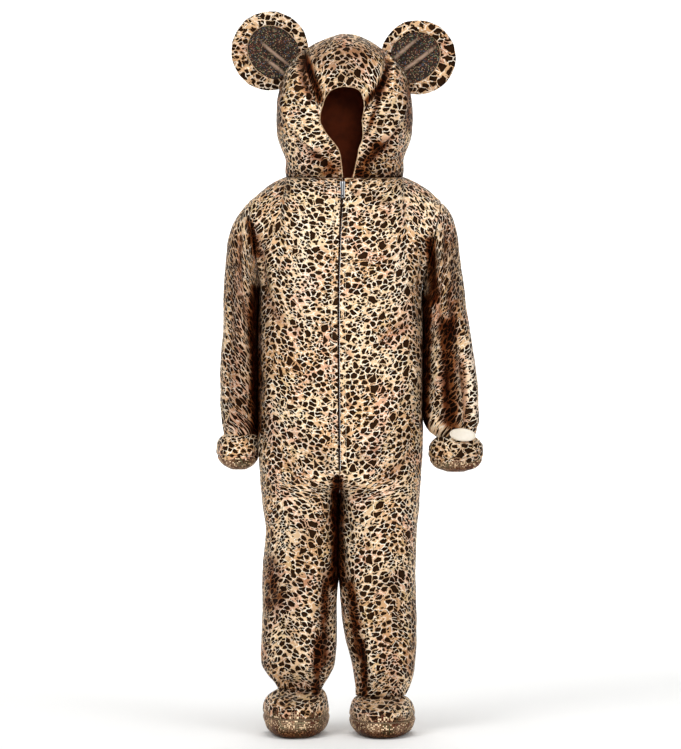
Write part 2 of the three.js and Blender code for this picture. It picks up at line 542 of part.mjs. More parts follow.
function bodyPiece(side, face) {
  const columns = QUARTER_COLUMNS + 1;
  const share = (c) => c / QUARTER_COLUMNS;
  const points = BODY_ROWS.map((row) => range(columns).map((c) => bodyPoint(side, face, share(c), row)));
  const insideY = face * 4;
  const normals = gridNormals(points, {
    pointAt: (r, c) => bodyGhost(side, face, share(c), BODY_ROWS[r]),
    away: (r) => {
      const low = Math.min(points[r][0].z, CHEST_Z / 2);
      return vector((points[r][0].x + points[r][QUARTER_COLUMNS].x) / 2, insideY, low);
    },
  });
  const armAxis = armholeAxis(side);
  points.forEach((row, r) => row.forEach((p, c) => {
    const normal = normals[r][c];
    const station = BODY_ROWS[r];
    const inYoke = station.z === undefined;
    if (c === 0) normal.x = -side * Math.max(-side * normal.x, 0);
    if (c === QUARTER_COLUMNS && inYoke && station.v < 1) flatten(normal, armAxis);
    if (c === QUARTER_COLUMNS && !(station.v < 1)) normal.y = 0;
    if (r === 0 && share(c) < NECKLINE_SHARE) flatten(normal, neckPlaneNormal);
    if (r === 0 && share(c) >= NECKLINE_SHARE) normal.y = 0;
    if (r === BODY_ROWS.length - 1) normal.z = 0;
    normal.normalize();
    const edgeFade = Math.sqrt(Math.max(Math.sin(Math.PI * share(c)), 0));
    const topFade = smooth((NECK.zFront - p.z) / NECK_FOLD_FADE);
    p.addScaledVector(normal, bodyFolds(side, face, share(c), p.z) * edgeFade * topFade);
    if (!inYoke) {
      const fade = Math.exp(-(((ANKLE_END_Z - station.z) / ANKLE_GATHER_HEIGHT) ** 2));
      const seamEase = c === 0 || c === QUARTER_COLUMNS ? 1 / 2 : 1;
      p.addScaledVector(normal, fade * gatherWave(c) * seamEase);
    }
  }));
  const pulled = drawIn(points, { top: SEAM / 2, last: SEAM / 2, bottom: SEAM / 2 });
  return { points: drawCentre(pulled, face), normals };
}

function besideZip(row) {
  return row.z === undefined || row.z > CHAIN.bottom;
}

// The centre edge is drawn in by half a seam, and by half the zip's gap in front of the chain
function drawCentre(points, face) {
  return points.map((row, r) => {
    const amount = face < 0 && besideZip(BODY_ROWS[r]) ? ZIP_GAP / 2 : SEAM / 2;
    const moved = [...row];
    moved[0] = row[0].clone().addScaledVector(row[1].clone().sub(row[0]).normalize(), amount);
    return moved;
  });
}

// Sleeves

function armholeAxis(side) {
  const tip = SHOULDER[sideName(side)];
  const under = ringPoint(side, -1, 1, CHEST_Z);
  const up = vector(tip.x - under.x, 0, tip.z - under.z).normalize();
  return vector(side * up.z, 0, -side * up.x);
}

// t is the turn round a sleeve: 0 at the top, 0.25 at the front, 0.5 under the arm
function sleevePoint(side, t, row) {
  const table = side < 0 ? SLEEVE_LEFT : SLEEVE_RIGHT;
  const get = (key) => sample(table, 'row', key, row);
  const face = t < 0.5 ? -1 : 1;
  const v = t < 0.5 ? t * 2 : 2 - t * 2;
  const blend = smooth(row / ARMHOLE_BLEND_ROWS);
  const towardsOuter = mix(Math.cos((v * Math.PI) / 2), (1 + Math.cos(Math.PI * v)) / 2, blend);
  const round = Math.sin(Math.PI * v) ** mix(SLEEVE_ROUND.armhole, SLEEVE_ROUND.arm, blend);
  const shoulderY = SHOULDER.y * (1 - blend) * Math.cos((v * Math.PI) / 2);
  const y = shoulderY + face * get(face < 0 ? 'front' : 'back') * round;
  const x = mix(get('innerX'), get('outerX'), towardsOuter);
  return vector(x, y, mix(get('innerZ'), get('outerZ'), towardsOuter));
}

function armholePoint(side, t) {
  const face = t < 0.5 ? -1 : 1;
  return yokePoint(side, face, 1, t < 0.5 ? t * 2 : 2 - t * 2);
}

function sleeveFolds(side, t, row) {
  const at = new THREE.Vector2(t * SLEEVE_GIRTH, row * SLEEVE_LENGTH_STEP);
  return SLEEVE_FOLDS.filter((fold) => fold.side === side).reduce((sum, fold) => {
    const from = new THREE.Vector2(fold.t0 * SLEEVE_GIRTH, fold.row0 * SLEEVE_LENGTH_STEP);
    const to = new THREE.Vector2(fold.t1 * SLEEVE_GIRTH, fold.row1 * SLEEVE_LENGTH_STEP);
    return sum + foldDepth(fold, from, to, at);
  }, 0);
}

function gatherWave(column) {
  return column % 2 === 0 ? GATHER_WAVE : -GATHER_WAVE;
}

function sleeve(side) {
  const axis = armholeAxis(side);
  const turn = (c) => c / SLEEVE_COLUMNS;
  const points = SLEEVE_ROWS.map((row) => range(SLEEVE_COLUMNS).map((c) => (
    row === 0 ? armholePoint(side, turn(c)) : sleevePoint(side, turn(c), row))));
  const middle = (r) => points[r].reduce((sum, p) => sum.add(p), vector()).divideScalar(SLEEVE_COLUMNS);
  const normals = gridNormals(points, { wrap: true, away: middle });
  const end = SLEEVE_ROWS.length - 1;
  points.forEach((row, r) => row.forEach((p, c) => {
    const normal = normals[r][c];
    if (r === 0) flatten(normal, axis);
    if (r === end) normal.setZ(0).normalize();
    const topFade = smooth(SLEEVE_ROWS[r] / ARMHOLE_FOLD_ROWS);
    p.addScaledVector(normal, sleeveFolds(side, turn(c), SLEEVE_ROWS[r]) * topFade);
    const gather = Math.exp(-(((SLEEVE_LAST_ROW - SLEEVE_ROWS[r]) / WRIST_GATHER_ROWS) ** 2));
    p.addScaledVector(normal, gather * gatherWave(c));
  }));
  points[0].forEach((p) => p.addScaledVector(axis, SEAM / 2));
  const apart = drawIn(points, { bottom: SEAM / 2 });
  return clothWall(apart, normals, CLOTH, true);
}

// Mitts and foot covers: closed pouches below a gathered ring

function pouchGrid(rows, columns, ringAt) {
  return rows.map((row) => range(columns).map((c) => ringAt(row, (c / columns) * Math.PI * 2)));
}

// A wall with an open top, closed below by a middle point
function closedPouch(points, normals, thickness) {
  const last = points.at(-1);
  const middle = last.reduce((sum, p) => sum.add(p), vector()).divideScalar(last.length);
  const down = vector(0, 0, -1);
  const closed = [...points, last.map(() => middle.clone())];
  return clothWall(closed, [...normals, last.map(() => down)], thickness, true);
}

function mittRing(side, row, angle) {
  const table = side < 0 ? MITT_LEFT : MITT_RIGHT;
  const rows = table.map((entry, index) => ({ ...entry, row: index }));
  const get = (key) => sample(rows, 'row', key, row);
  const centre = (get('left') + get('right')) / 2;
  const half = (get('right') - get('left')) / 2;
  const reach = Math.cos(angle) > 0 ? get('front') : get('back');
  const across = rounded(Math.sin(angle), MITT_ROUND);
  return vector(centre + half * across, -reach * rounded(Math.cos(angle), MITT_ROUND), get('z'));
}

// A sine or cosine raised to a power, with its sign kept
function rounded(value, power) {
  return Math.sign(value) * Math.abs(value) ** power;
}

function pouchNormals(points, flatRows) {
  const middle = (r) => points[r].reduce((sum, p) => sum.add(p), vector()).divideScalar(points[r].length);
  const normals = gridNormals(points, { wrap: true, away: middle });
  flatRows.forEach((r) => normals[r].forEach((normal) => normal.setZ(0).normalize()));
  return normals;
}

function mitt(side) {
  const rows = [...MITT_UPPER_ROWS, ...MITT_TIP_ROWS.slice(1)];
  const points = pouchGrid(rows, SLEEVE_COLUMNS, (row, angle) => mittRing(side, row, angle));
  const seamRow = MITT_UPPER_ROWS.length - 1;
  const normals = pouchNormals(points, [0, seamRow]);
  points.forEach((ring, r) => ring.forEach((p, c) => {
    p.addScaledVector(normals[r][c], gatherWave(c) * Math.exp(-((rows[r] / POUCH_GATHER_ROWS) ** 2)));
  }));
  const upper = drawIn(points.slice(0, seamRow + 1), { bottom: SEAM / 2 });
  const tip = drawIn(points.slice(seamRow), { top: SEAM / 2 });
  return {
    upper: clothWall(upper, normals.slice(0, seamRow + 1), CLOTH, true),
    tip: closedPouch(tip, normals.slice(seamRow), CLOTH),
  };
}

function footRing(side, row, angle) {
  const rows = FOOT.map((entry, index) => ({ ...entry, row: index }));
  const get = (key) => sample(rows, 'row', key, row);
  const ankle = side < 0 ? ANKLE_END_Z : RIGHT_ANKLE_END_Z;
  const shift = smooth(row / FOOT_SHIFT_ROWS);
  const centre = mix(FOOT_ANKLE_X[sideName(side)], FOOT_X[sideName(side)], shift);
  const forward = Math.cos(angle) > 0;
  const reach = forward ? get('toe') : get('heel');
  const across = rounded(Math.sin(angle), forward ? FOOT_ROUND.toe : FOOT_ROUND.heel);
  return vector(centre + get('half') * across, -reach * Math.cos(angle), ankle + get('z') * footScale(side));
}

// The right foot cover hangs lower at the ankle, and both soles lie level
function footScale(side) {
  const drop = ANKLE_END_Z - RIGHT_ANKLE_END_Z;
  const height = -FOOT.at(-1).z;
  return side < 0 ? (height + drop / 2) / height : (height - drop / 2) / height;
}

function foot(side) {
  const rows = [...FOOT_UPPER_ROWS, ...FOOT_SOLE_ROWS.slice(1)];
  const points = pouchGrid(rows, QUARTER_COLUMNS * 2, (row, angle) => footRing(side, row, angle));
  const seamRow = FOOT_UPPER_ROWS.length - 1;
  const normals = pouchNormals(points, [0, seamRow]);
  normals.at(-1).forEach((normal) => normal.set(0, 0, -1));
  points.forEach((ring, r) => ring.forEach((p, c) => {
    p.addScaledVector(normals[r][c], gatherWave(c) * Math.exp(-((rows[r] / POUCH_GATHER_ROWS) ** 2)));
  }));
  const upper = drawIn(points.slice(0, seamRow + 1), { bottom: SEAM / 2 });
  const sole = drawIn(points.slice(seamRow), { top: SEAM / 2 });
  return {
    upper: clothWall(upper, normals.slice(0, seamRow + 1), CLOTH, true),
    sole: closedPouch(sole, normals.slice(seamRow), CLOTH),
  };
}

// Hood

// a is the way round an arch: -1 at its left foot, 0 at the crown, 1 at its right foot
function hoodPoint(a, row) {
  const get = (key) => sample(HOOD, 'row', key, row);
  const baseY = get('baseY');
  const reach = baseY < 0 ? NECK.front : NECK.back;
  const edge = Math.max(1 - row, 0);
  const neckHalf = NECK.half * Math.sqrt(Math.max(1 - (baseY / reach) ** 2, 0));
  const baseHalf = mix(neckHalf, FACE_FOOT.half, edge);
  const half = Math.max(get('half'), baseHalf + HOOD_FOOT_MARGIN);
  const footAngle = Math.PI - Math.asin(baseHalf / half);
  const angle = a * footAngle;
  const rise = ((Math.cos(angle) - Math.cos(footAngle)) / (1 - Math.cos(footAngle))) ** HOOD_RISE;
  const baseZ = neckHeight(baseY);
  const z = mix(baseZ, get('apexZ'), rise);
  const drawnIn = Math.exp(-(((z - HOOD_PINCH.z) / HOOD_PINCH.spread) ** 2)) * smooth(row / HOOD_PINCH.rows);
  const pinch = 1 - HOOD_PINCH.share * drawnIn;
  const lean = (FACE_FOOT.x - NECK.x) * edge * (1 - smooth(rise / FACE_FOOT.leanRise));
  const x = NECK.x + lean + half * Math.sin(angle) * mix(1, pinch, smooth(rise / HOOD_FOOT_RISE));
  return vector(x, mix(baseY, get('apexY'), rise ** HOOD_FORWARD), z);
}

// The way round the arch at each column: the panel seams fall on whole columns
function hoodTurn(column, columnsPerPanel, row) {
  const seam = sample(HOOD, 'row', 'seam', row);
  const share = column / columnsPerPanel;
  if (share <= 1) return mix(-1, -seam, share);
  if (share <= 2) return mix(-seam, seam, share - 1);
  return mix(seam, 1, share - 2);
}

function hoodFolds(a, row) {
  const at = new THREE.Vector2(a * HOOD_GIRTH, row * HOOD_ROW_STEP);
  return HOOD_FOLDS.reduce((sum, fold) => {
    const from = new THREE.Vector2(fold.a0 * HOOD_GIRTH, fold.row0 * HOOD_ROW_STEP);
    const to = new THREE.Vector2(fold.a1 * HOOD_GIRTH, fold.row1 * HOOD_ROW_STEP);
    return sum + foldDepth(fold, from, to, at);
  }, 0);
}

function hoodGrid(rows, columnsPerPanel, creased) {
  const columns = columnsPerPanel * 3 + 1;
  const turns = rows.map((row) => range(columns).map((c) => hoodTurn(c, columnsPerPanel, row)));
  const points = rows.map((row, r) => turns[r].map((a) => hoodPoint(a, row)));
  const normals = gridNormals(points, { away: HOOD_MIDDLE });
  points.forEach((line, r) => line.forEach((p, c) => {
    const normal = normals[r][c];
    if (c === 0 || c === columns - 1 || r === rows.length - 1) flatten(normal, neckPlaneNormal);
    if (!creased) return;
    const neckFade = smooth((p.z - NECK.zBack) / HOOD_FOLD_FADE);
    p.addScaledVector(normal, hoodFolds(turns[r][c], rows[r]) * neckFade);
    const edge = Math.exp(-((rows[r] / FACE_WAVE_ROWS) ** 2)) * FACE_WAVE * neckFade;
    p.addScaledVector(normal, c % 2 === 0 ? edge : -edge);
  }));
  return { points, normals };
}

const HOOD_LIFT = vector(0, 0, SEAM);

function hoodPanels() {
  const n = HOOD_PANEL_COLUMNS;
  const { points, normals } = hoodGrid(HOOD_ROWS, n, true);
  points.forEach((row) => row.forEach((p) => p.add(HOOD_LIFT)));
  const last = HOOD_ROWS.length - 1;
  const panel = (from, to, edges) => {
    return clothWall(drawIn(cut(points, 0, last, from, to), edges), cut(normals, 0, last, from, to), CLOTH);
  };
  return {
    hood_left: panel(0, n, { last: SEAM / 2 }),
    hood_centre: panel(n, 2 * n, { first: SEAM / 2, last: SEAM / 2 }),
    hood_right: panel(2 * n, 3 * n, { first: SEAM / 2 }),
    body: hoodBody(points, normals),
  };
}

// The space that the hood takes up, a seam larger all round, which the ears' bases are cut to
function hoodBody(points, normals) {
  const grown = points.map((row, r) => row.map((p, c) => p.clone().addScaledVector(normals[r][c], SEAM)));
  const triangles = [];
  const rows = grown.length;
  const columns = grown[0].length;
  for (let r = 0; r < rows - 1; r += 1) {
    for (let c = 0; c < columns - 1; c += 1) {
      triangles.push([grown[r][c], grown[r][c + 1], grown[r + 1][c + 1]]);
      triangles.push([grown[r][c], grown[r + 1][c + 1], grown[r + 1][c]]);
    }
  }
  const rim = [
    ...grown[0],
    ...grown.slice(1).map((row) => row[columns - 1]),
    ...grown[rows - 1].slice(0, -1).reverse(),
    ...grown.slice(1, -1).map((row) => row[0]).reverse(),
  ];
  rim.forEach((p, i) => triangles.push([rim[(i + 1) % rim.length], p, HOOD_MIDDLE]));
  return solidFrom(triangles);
}

function hoodLining() {
  const { points, normals } = hoodGrid(LINING_ROWS, HOOD_PANEL_COLUMNS / 2, false);
  const inset = (row) => mix(LINING_EDGE_INSET, LINING_INSET, smooth(row / LINING_INSET_ROWS));
  const inside = points.map((row, r) => row.map((p, c) => (
    p.clone().addScaledVector(normals[r][c], -inset(LINING_ROWS[r])).add(HOOD_LIFT))));
  return clothWall(inside, normals, LINING_CLOTH);
}

// Ears

function earOuter(ear, angle, drawn) {
  return vector(
    ear.x + (ear.radiusX - drawn) * Math.cos(angle),
    0,
    ear.z + (ear.radiusZ - drawn) * Math.sin(angle),
  );
}

function earPanelEdge(ear, angle) {
  return vector(
    ear.panelX + ear.panelRadiusX * Math.cos(angle),
    0,
    ear.panelZ + ear.panelRadiusZ * Math.sin(angle),
  );
}

// The rounded edge of an ear, from the seam round its rim to its flat face
function earEdge(ear, angle, face) {
  const turns = EAR_EDGE_SHARES.map((share) => (share * Math.PI) / 2);
  return turns.map((turn) => {
    const p = earOuter(ear, angle, EAR_EDGE_ROUND * (1 - Math.cos(turn)));
    p.y = ear.y + face * (SEAM / 2 + EAR_HALF_THICK * Math.sin(turn));
    return p;
  });
}

function earFaceY(ear) {
  return ear.y - SEAM / 2 - EAR_HALF_THICK;
}

// Two soft pleats run out from the base of the panel
function pleat(ear, angle, share) {
  const ridge = (offset) => {
    const apart = angle - ear.base - offset;
    const turn = Math.atan2(Math.sin(apart), Math.cos(apart));
    return Math.exp(-((turn / EAR_PLEAT.spread) ** 2));
  };
  return EAR_PLEAT.height * (ridge(-EAR_PLEAT.offset) + ridge(EAR_PLEAT.offset)) * Math.sin(Math.PI * share);
}

// A point of the back, a share of the way in from the rim and proud of its flat face
function earCrown(ear, angle, share, proud) {
  const edge = earOuter(ear, angle, 0);
  return vector(mix(edge.x, ear.x, share), ear.y + EAR_HALF_THICK + proud, mix(edge.z, ear.z, share));
}

function earPieces(ear, hoodSpace) {
  const angles = range(EAR_COLUMNS).map((c) => (c / EAR_COLUMNS) * Math.PI * 2);
  const turned = (columns) => range(columns[0].length).map((r) => columns.map((column) => column[r]));
  const front = vector(0, -1, 0);
  const back = vector(0, 1, 0);
  const middle = vector(ear.x, ear.y, ear.z);
  const edgeNormals = (points) => {
    const normals = gridNormals(points, { wrap: true, away: middle });
    normals[0].forEach((normal) => normal.setY(0).normalize());
    return normals;
  };

  const backPoints = turned(angles.map((angle) => [
    ...earEdge(ear, angle, 1),
    earCrown(ear, angle, EAR_CROWN.share, EAR_CROWN.edge),
    earCrown(ear, angle, 1, EAR_CROWN.middle),
  ]));
  const backNormals = edgeNormals(backPoints);
  backNormals.at(-1).forEach((normal) => normal.copy(back));

  const rimPoints = turned(angles.map((angle) => {
    const inner = earPanelEdge(ear, angle);
    inner.y = earFaceY(ear) + EAR_LIP;
    const edge = earEdge(ear, angle, -1);
    return [...edge, inner.addScaledVector(edge.at(-1).clone().sub(inner).normalize(), SEAM)];
  }));
  const rimNormals = edgeNormals(rimPoints);
  rimNormals.at(-1).forEach((normal) => normal.copy(front));

  const panelPoints = turned(angles.map((angle) => EAR_PANEL_SHARES.map((share) => {
    const edge = earPanelEdge(ear, angle);
    const dish = EAR_DISH * Math.sin((share * Math.PI) / 2) - pleat(ear, angle, share);
    const y = earFaceY(ear) + EAR_LIP + dish;
    return vector(mix(edge.x, ear.panelX, share), y, mix(edge.z, ear.panelZ, share));
  })));
  const panelNormals = panelPoints.map((row) => row.map(() => front));

  return {
    back: trimmed(clothWall(backPoints, backNormals, CLOTH, true), hoodSpace),
    rim: trimmed(clothWall(rimPoints, rimNormals, CLOTH, true), hoodSpace),
    panel: trimmed(clothWall(panelPoints, panelNormals, CLOTH, true), hoodSpace),
  };
}

// Joins and cuts

function toManifold(geometry) {
  return new wasm.Manifold(new wasm.Mesh({
    numProp: 3,
    vertProperties: new Float32Array(geometry.getAttribute('position').array),
    triVerts: new Uint32Array(geometry.index.array),
  }));
}

function fromManifold(solid) {
  const mesh = solid.getMesh();
  const geometry = new THREE.BufferGeometry();
  geometry.setAttribute('position', new THREE.BufferAttribute(mesh.vertProperties, 3));
  geometry.setIndex([...mesh.triVerts]);
  return geometry;
}

function merged(geometry) {
  const bare = geometry.clone();
  bare.deleteAttribute('normal');
  bare.deleteAttribute('uv');
  return mergeVertices(bare, FINE_WELD);
}

function trimmed(geometry, space) {
  return fromManifold(toManifold(geometry).subtract(toManifold(space)));
}

function joined(geometries) {
  const [first, ...others] = geometries.map((geometry) => toManifold(merged(geometry)));
  return fromManifold(others.reduce((sum, other) => sum.add(other), first));
}

// Zip

// Each tape lies behind the front piece's edge, made from the same points moved in
function zipTape({ points, normals }) {
  const lastRow = BODY_ROWS.filter(besideZip).length - 1;
  const outer = cut(points, 0, lastRow, 0, 1);
  const outerNormals = cut(normals, 0, lastRow, 0, 1);
  const behind = outer.map((row, r) => row.map((p, c) => (
    p.clone().addScaledVector(outerNormals[r][c], -CLOTH - TAPE.gap))));
  const inset = behind.map((row) => [row[0], row[0].clone().lerp(row[1], TAPE.share)]);
  return clothWall(drawIn(inset, { top: TAPE.drop }), outerNormals, TAPE.thick);
}

function zipLinePoint(row) {
  const left = bodyPoint(-1, -1, 0, row);
  return left.lerp(bodyPoint(1, -1, 0, row), 1 / 2);
}

// The chain starts halfway down the first row, under the slider
function zipChain() {
  const line = BODY_ROWS.filter(besideZip).map(zipLinePoint);
  line[0].lerp(line[1], 1 / 2);
  const half = CHAIN.width / 2;
  const outer = line.map((p) => [p.clone().setX(p.x - half), p.clone().setX(p.x + half)]);
  const inner = outer.map((row) => row.map((p) => p.clone().setY(p.y + CHAIN.thick)));
  return wallBetween(outer, inner, false);
}

// The slider and its tab are drawn about the tab's hinge, x across, y to the back, z up
function sliderSolid() {
  const w = SLIDER.width / 2;
  const outline = new THREE.Shape();
  outline.moveTo(-w, SLIDER.top - SLIDER.cornerDrop);
  outline.quadraticCurveTo(-w, SLIDER.top, -w + SLIDER.cornerInset, SLIDER.top);
  outline.lineTo(w - SLIDER.cornerInset, SLIDER.top);
  outline.quadraticCurveTo(w, SLIDER.top, w, SLIDER.top - SLIDER.cornerDrop);
  outline.lineTo(w * SLIDER.taper, -SLIDER.bottom);
  outline.lineTo(-w * SLIDER.taper, -SLIDER.bottom);
  outline.closePath();
  const plate = upright(outline, SLIDER.plate, SLIDER.window, CORNER_SEGMENTS);
  const reach = SLIDER.window + BRIDGE.thick;
  const root = SLIDER.window + BRIDGE.embed;
  const side = new THREE.Shape();
  side.moveTo(root, BRIDGE.top + BRIDGE.backRise);
  side.lineTo(-reach + BRIDGE.slopeInset, BRIDGE.top + BRIDGE.slopeRise);
  side.lineTo(-reach, BRIDGE.top - BRIDGE.shoulderDrop);
  side.lineTo(-reach, -BRIDGE.legBottom + BRIDGE.chamfer);
  side.lineTo(-reach + BRIDGE.chamfer, -BRIDGE.legBottom);
  side.lineTo(root, -BRIDGE.legBottom);
  side.closePath();
  const window = new THREE.Path();
  window.moveTo(SLIDER.window, -BRIDGE.legTop);
  window.lineTo(-SLIDER.window, -BRIDGE.legTop);
  window.lineTo(-SLIDER.window, BRIDGE.top - BRIDGE.roof);
  window.lineTo(SLIDER.window, BRIDGE.top - BRIDGE.roof);
  window.closePath();
  side.holes.push(window);
  return joined([plate, bridgeUpright(side)]);
}

// Stands a shape drawn as (x, z) up in front, thick towards the back from y
function upright(shape, thick, y, curveSegments) {
  const geometry = new THREE.ExtrudeGeometry(shape, { depth: thick, bevelEnabled: false, curveSegments });
  geometry.rotateX(Math.PI / 2);
  geometry.translate(0, y + thick, 0);
  return geometry;
}

// Stands a shape drawn as (y, z) up along x, centred
function bridgeUpright(shape) {
  const geometry = new THREE.ExtrudeGeometry(shape, { depth: BRIDGE.width, bevelEnabled: false });
  const turned = new THREE.Matrix4().makeBasis(vector(0, 1, 0), vector(0, 0, 1), vector(1, 0, 0));
  geometry.applyMatrix4(turned);
  geometry.translate(-BRIDGE.width / 2, 0, 0);
  return geometry;
}

function pullTab() {
  const w = TAB.width / 2;
  const outline = new THREE.Shape();
  outline.moveTo(-w * TAB.barShare, TAB.bar);
  outline.lineTo(w * TAB.barShare, TAB.bar);
  outline.lineTo(w, -TAB.eyeBottom - TAB.flare);
  outline.lineTo(w, -TAB.length + w);
  outline.absarc(0, -TAB.length + w, w, 0, -Math.PI, true);
  outline.closePath();
  const eye = new THREE.Path();
  eye.moveTo(-TAB.eyeHalf, -TAB.bar);
  eye.lineTo(-TAB.eyeHalf, -TAB.eyeBottom);
  eye.lineTo(TAB.eyeHalf, -TAB.eyeBottom);
  eye.lineTo(TAB.eyeHalf, -TAB.bar);
  eye.closePath();
  const hole = new THREE.Path();
  hole.absarc(0, -TAB.holeDrop, TAB.holeRadius, 0, Math.PI * 2, false);
  outline.holes.push(eye, hole);
  return merged(upright(outline, TAB.thick, -TAB.thick / 2, ROUND_SEGMENTS));
}

// Patch

function wristPatch() {
  const points = PATCH_SHARES.map((share) => range(PATCH_COLUMNS).map((c) => {
    const angle = (c / PATCH_COLUMNS) * Math.PI * 2;
    const across = PATCH.halfX * share * Math.cos(angle);
    const up = PATCH.halfZ * share * Math.sin(angle) - across * PATCH.tilt;
    return vector(PATCH.x + across, -PATCH.y + (across * across) / (2 * PATCH.wrap), PATCH.z + up);
  }));
  const front = vector(0, -1, 0);
  return clothWall(points, points.map((row) => row.map(() => front)), PATCH.thick, true);
}

// Assembly

const suit = new THREE.Group();

function add(name, geometry, material, parent = suit) {
  const mesh = new THREE.Mesh(geometry, MATERIALS[material].clone());
  mesh.name = name;
  parent.add(mesh);
}

for (const side of [-1, 1]) {
  const name = sideName(side);
  const front = bodyPiece(side, -1);
  const back = bodyPiece(side, 1);
  add(`front_${name}`, clothWall(front.points, front.normals, CLOTH), 'leopard');
  add(`back_${name}`, clothWall(back.points, back.normals, CLOTH), 'leopard');
  add(`zip_tape_${name}`, zipTape(front), 'tape');
  add(`sleeve_${name}`, sleeve(side), 'leopard');
  const hand = mitt(side);
  add(`mitt_${name}`, hand.upper, 'leopard');
  add(`mitt_${name}_tip`, hand.tip, 'foil');
  const boot = foot(side);
  add(`foot_${name}`, boot.upper, 'leopard');
  add(`foot_${name}_sole`, boot.sole, 'foil');
}

const hood = hoodPanels();
add('hood_left', hood.hood_left, 'leopard');
add('hood_centre', hood.hood_centre, 'leopard');
add('hood_right', hood.hood_right, 'leopard');
add('hood_lining', hoodLining(), 'lining');

for (const name of ['left', 'right']) {
  const ear = earPieces(EARS[name], hood.body);
  add(`ear_${name}_back`, ear.back, 'leopard');
  add(`ear_${name}_rim`, ear.rim, 'leopard');
  add(`ear_${name}_panel`, ear.panel, 'glitter');
}

add('zip_chain', zipChain(), 'tape');
const zipTop = BODY_ROWS.slice(0, YOKE_STEPS.length).map(zipLinePoint);
const above = zipTop.findIndex((p) => p.z < SLIDER.z);
const place = (SLIDER.z - zipTop[above].z) / (zipTop[above - 1].z - zipTop[above].z);
const seat = zipTop[above].clone().lerp(zipTop[above - 1], place);
const sliderGroup = new THREE.Group();
sliderGroup.position.set(seat.x, seat.y - SLIDER.window - SLIDER.plate - SLIDER.standoff, SLIDER.z);
sliderGroup.rotation.x = -SLIDER.tilt;
suit.add(sliderGroup);
add('zip_slider', sliderSolid(), 'metal', sliderGroup);
add('pull_tab', pullTab(), 'metal', sliderGroup);

add('wrist_patch', wristPatch(), 'cream');

export default suit;
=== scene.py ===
# Looks of a child's hooded one-piece leopard-print suit, filled out and empty.
# Sizes are in millimetres, in the frame of the part's source, and meshes are written in metres.
# Left and right are as seen from the front, left at -X.
import math

import bmesh
import bpy
import numpy as np
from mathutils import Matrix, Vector


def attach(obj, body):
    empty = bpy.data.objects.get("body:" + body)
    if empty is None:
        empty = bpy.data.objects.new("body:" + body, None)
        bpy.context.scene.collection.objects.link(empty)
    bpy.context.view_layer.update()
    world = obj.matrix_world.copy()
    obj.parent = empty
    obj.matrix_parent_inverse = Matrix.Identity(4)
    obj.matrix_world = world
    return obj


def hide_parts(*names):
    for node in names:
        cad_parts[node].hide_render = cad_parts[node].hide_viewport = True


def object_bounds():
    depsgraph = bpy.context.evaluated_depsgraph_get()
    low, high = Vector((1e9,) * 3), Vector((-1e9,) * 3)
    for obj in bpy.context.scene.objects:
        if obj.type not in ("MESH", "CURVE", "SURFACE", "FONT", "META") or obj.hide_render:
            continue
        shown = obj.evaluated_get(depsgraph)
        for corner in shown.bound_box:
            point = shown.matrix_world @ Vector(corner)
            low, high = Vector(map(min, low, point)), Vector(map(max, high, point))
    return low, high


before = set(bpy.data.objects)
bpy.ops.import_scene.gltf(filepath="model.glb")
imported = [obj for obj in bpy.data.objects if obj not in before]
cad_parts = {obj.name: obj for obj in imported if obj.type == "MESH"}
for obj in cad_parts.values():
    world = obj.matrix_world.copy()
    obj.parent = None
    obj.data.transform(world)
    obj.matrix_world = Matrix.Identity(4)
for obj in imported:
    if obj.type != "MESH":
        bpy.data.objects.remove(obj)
cad_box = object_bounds()

MM = 0.001
LEFT, RIGHT = -1, 1
FRONT, BACK = -1, 1



def table(keys, *rows):
    """The rows of a table, each with the given keys."""
    return [dict(zip(keys.split(), row)) for row in rows]


# Driving dimensions, as in the part's source
CLOTH = 1.3
LINING_CLOTH = 1.0
SEAM = 0.34
ZIP_GAP = 3.3
CHEST_Z = -128
CROTCH_TOP_Z = -395
CROTCH_Z = -452
CHAIN_BOTTOM_Z = -400
ANKLE_START_Z = -690
ANKLE_END_Z = -732
RIGHT_ANKLE_END_Z = -742
GIRTH_STEP = 165
SLEEVE_GIRTH = 270
SLEEVE_ROW_STEP = 34
HOOD_GIRTH = 230
HOOD_ROW_STEP = 32
HOOD_RISE = 0.8
HOOD_MIDDLE = np.array([4.5, 5, 115])
HOOD_BALL = 105
FACE_FOOT_HALF = 8
FACE_FOOT_X = 9.5
LINING_INSET = 12
LINING_EDGE_INSET = 3.9
LINING_BACK_DROP = 5
NECK_X = 4.5
NECK_HALF = 88
NECK_FRONT = 76
NECK_BACK = 70
NECK_Z_FRONT = 29
NECK_Z_BACK = 40
NECK_SIDE_ANGLE = 1.64
NECKLINE_SHARE = 0.62
SHOULDER = {LEFT: (-140, 5, -4), RIGHT: (150, 5, -4)}
ARM_CONTACT_END = {LEFT: -392, RIGHT: -338}
CONTACT_GAP = 0.25
BACK_SEAM_SHIFT = {LEFT: -1.2, RIGHT: 1.5}
FOOT_X = {LEFT: -68, RIGHT: 61}
FOOT_ANKLE_X = {LEFT: -62, RIGHT: 58.5}

# Body rings from the chest down: reach to the left, right, front and back, and squareness
BODY = table(
    "z left right front back square",
    (-128, 121, 121, 90, 78, 0.58),
    (-200, 124, 123, 89, 78, 0.74),
    (-290, 124, 123, 90, 82, 0.8),
    (-370, 124, 121, 90, 90, 0.82),
    (-452, 119, 117, 78, 82, 0.86),
    (-495, 114, 113, 69, 70, 0.88),
    (-560, 118, 111, 63, 62, 0.88),
    (-640, 119, 113, 60, 56, 0.88),
    (-694, 120, 110, 56, 50, 0.9),
    (-712, 110, 107, 47, 44, 0.95),
    (-724, 100, 101, 37, 36, 1),
    (-732, 95, 95, 32, 32, 1),
)
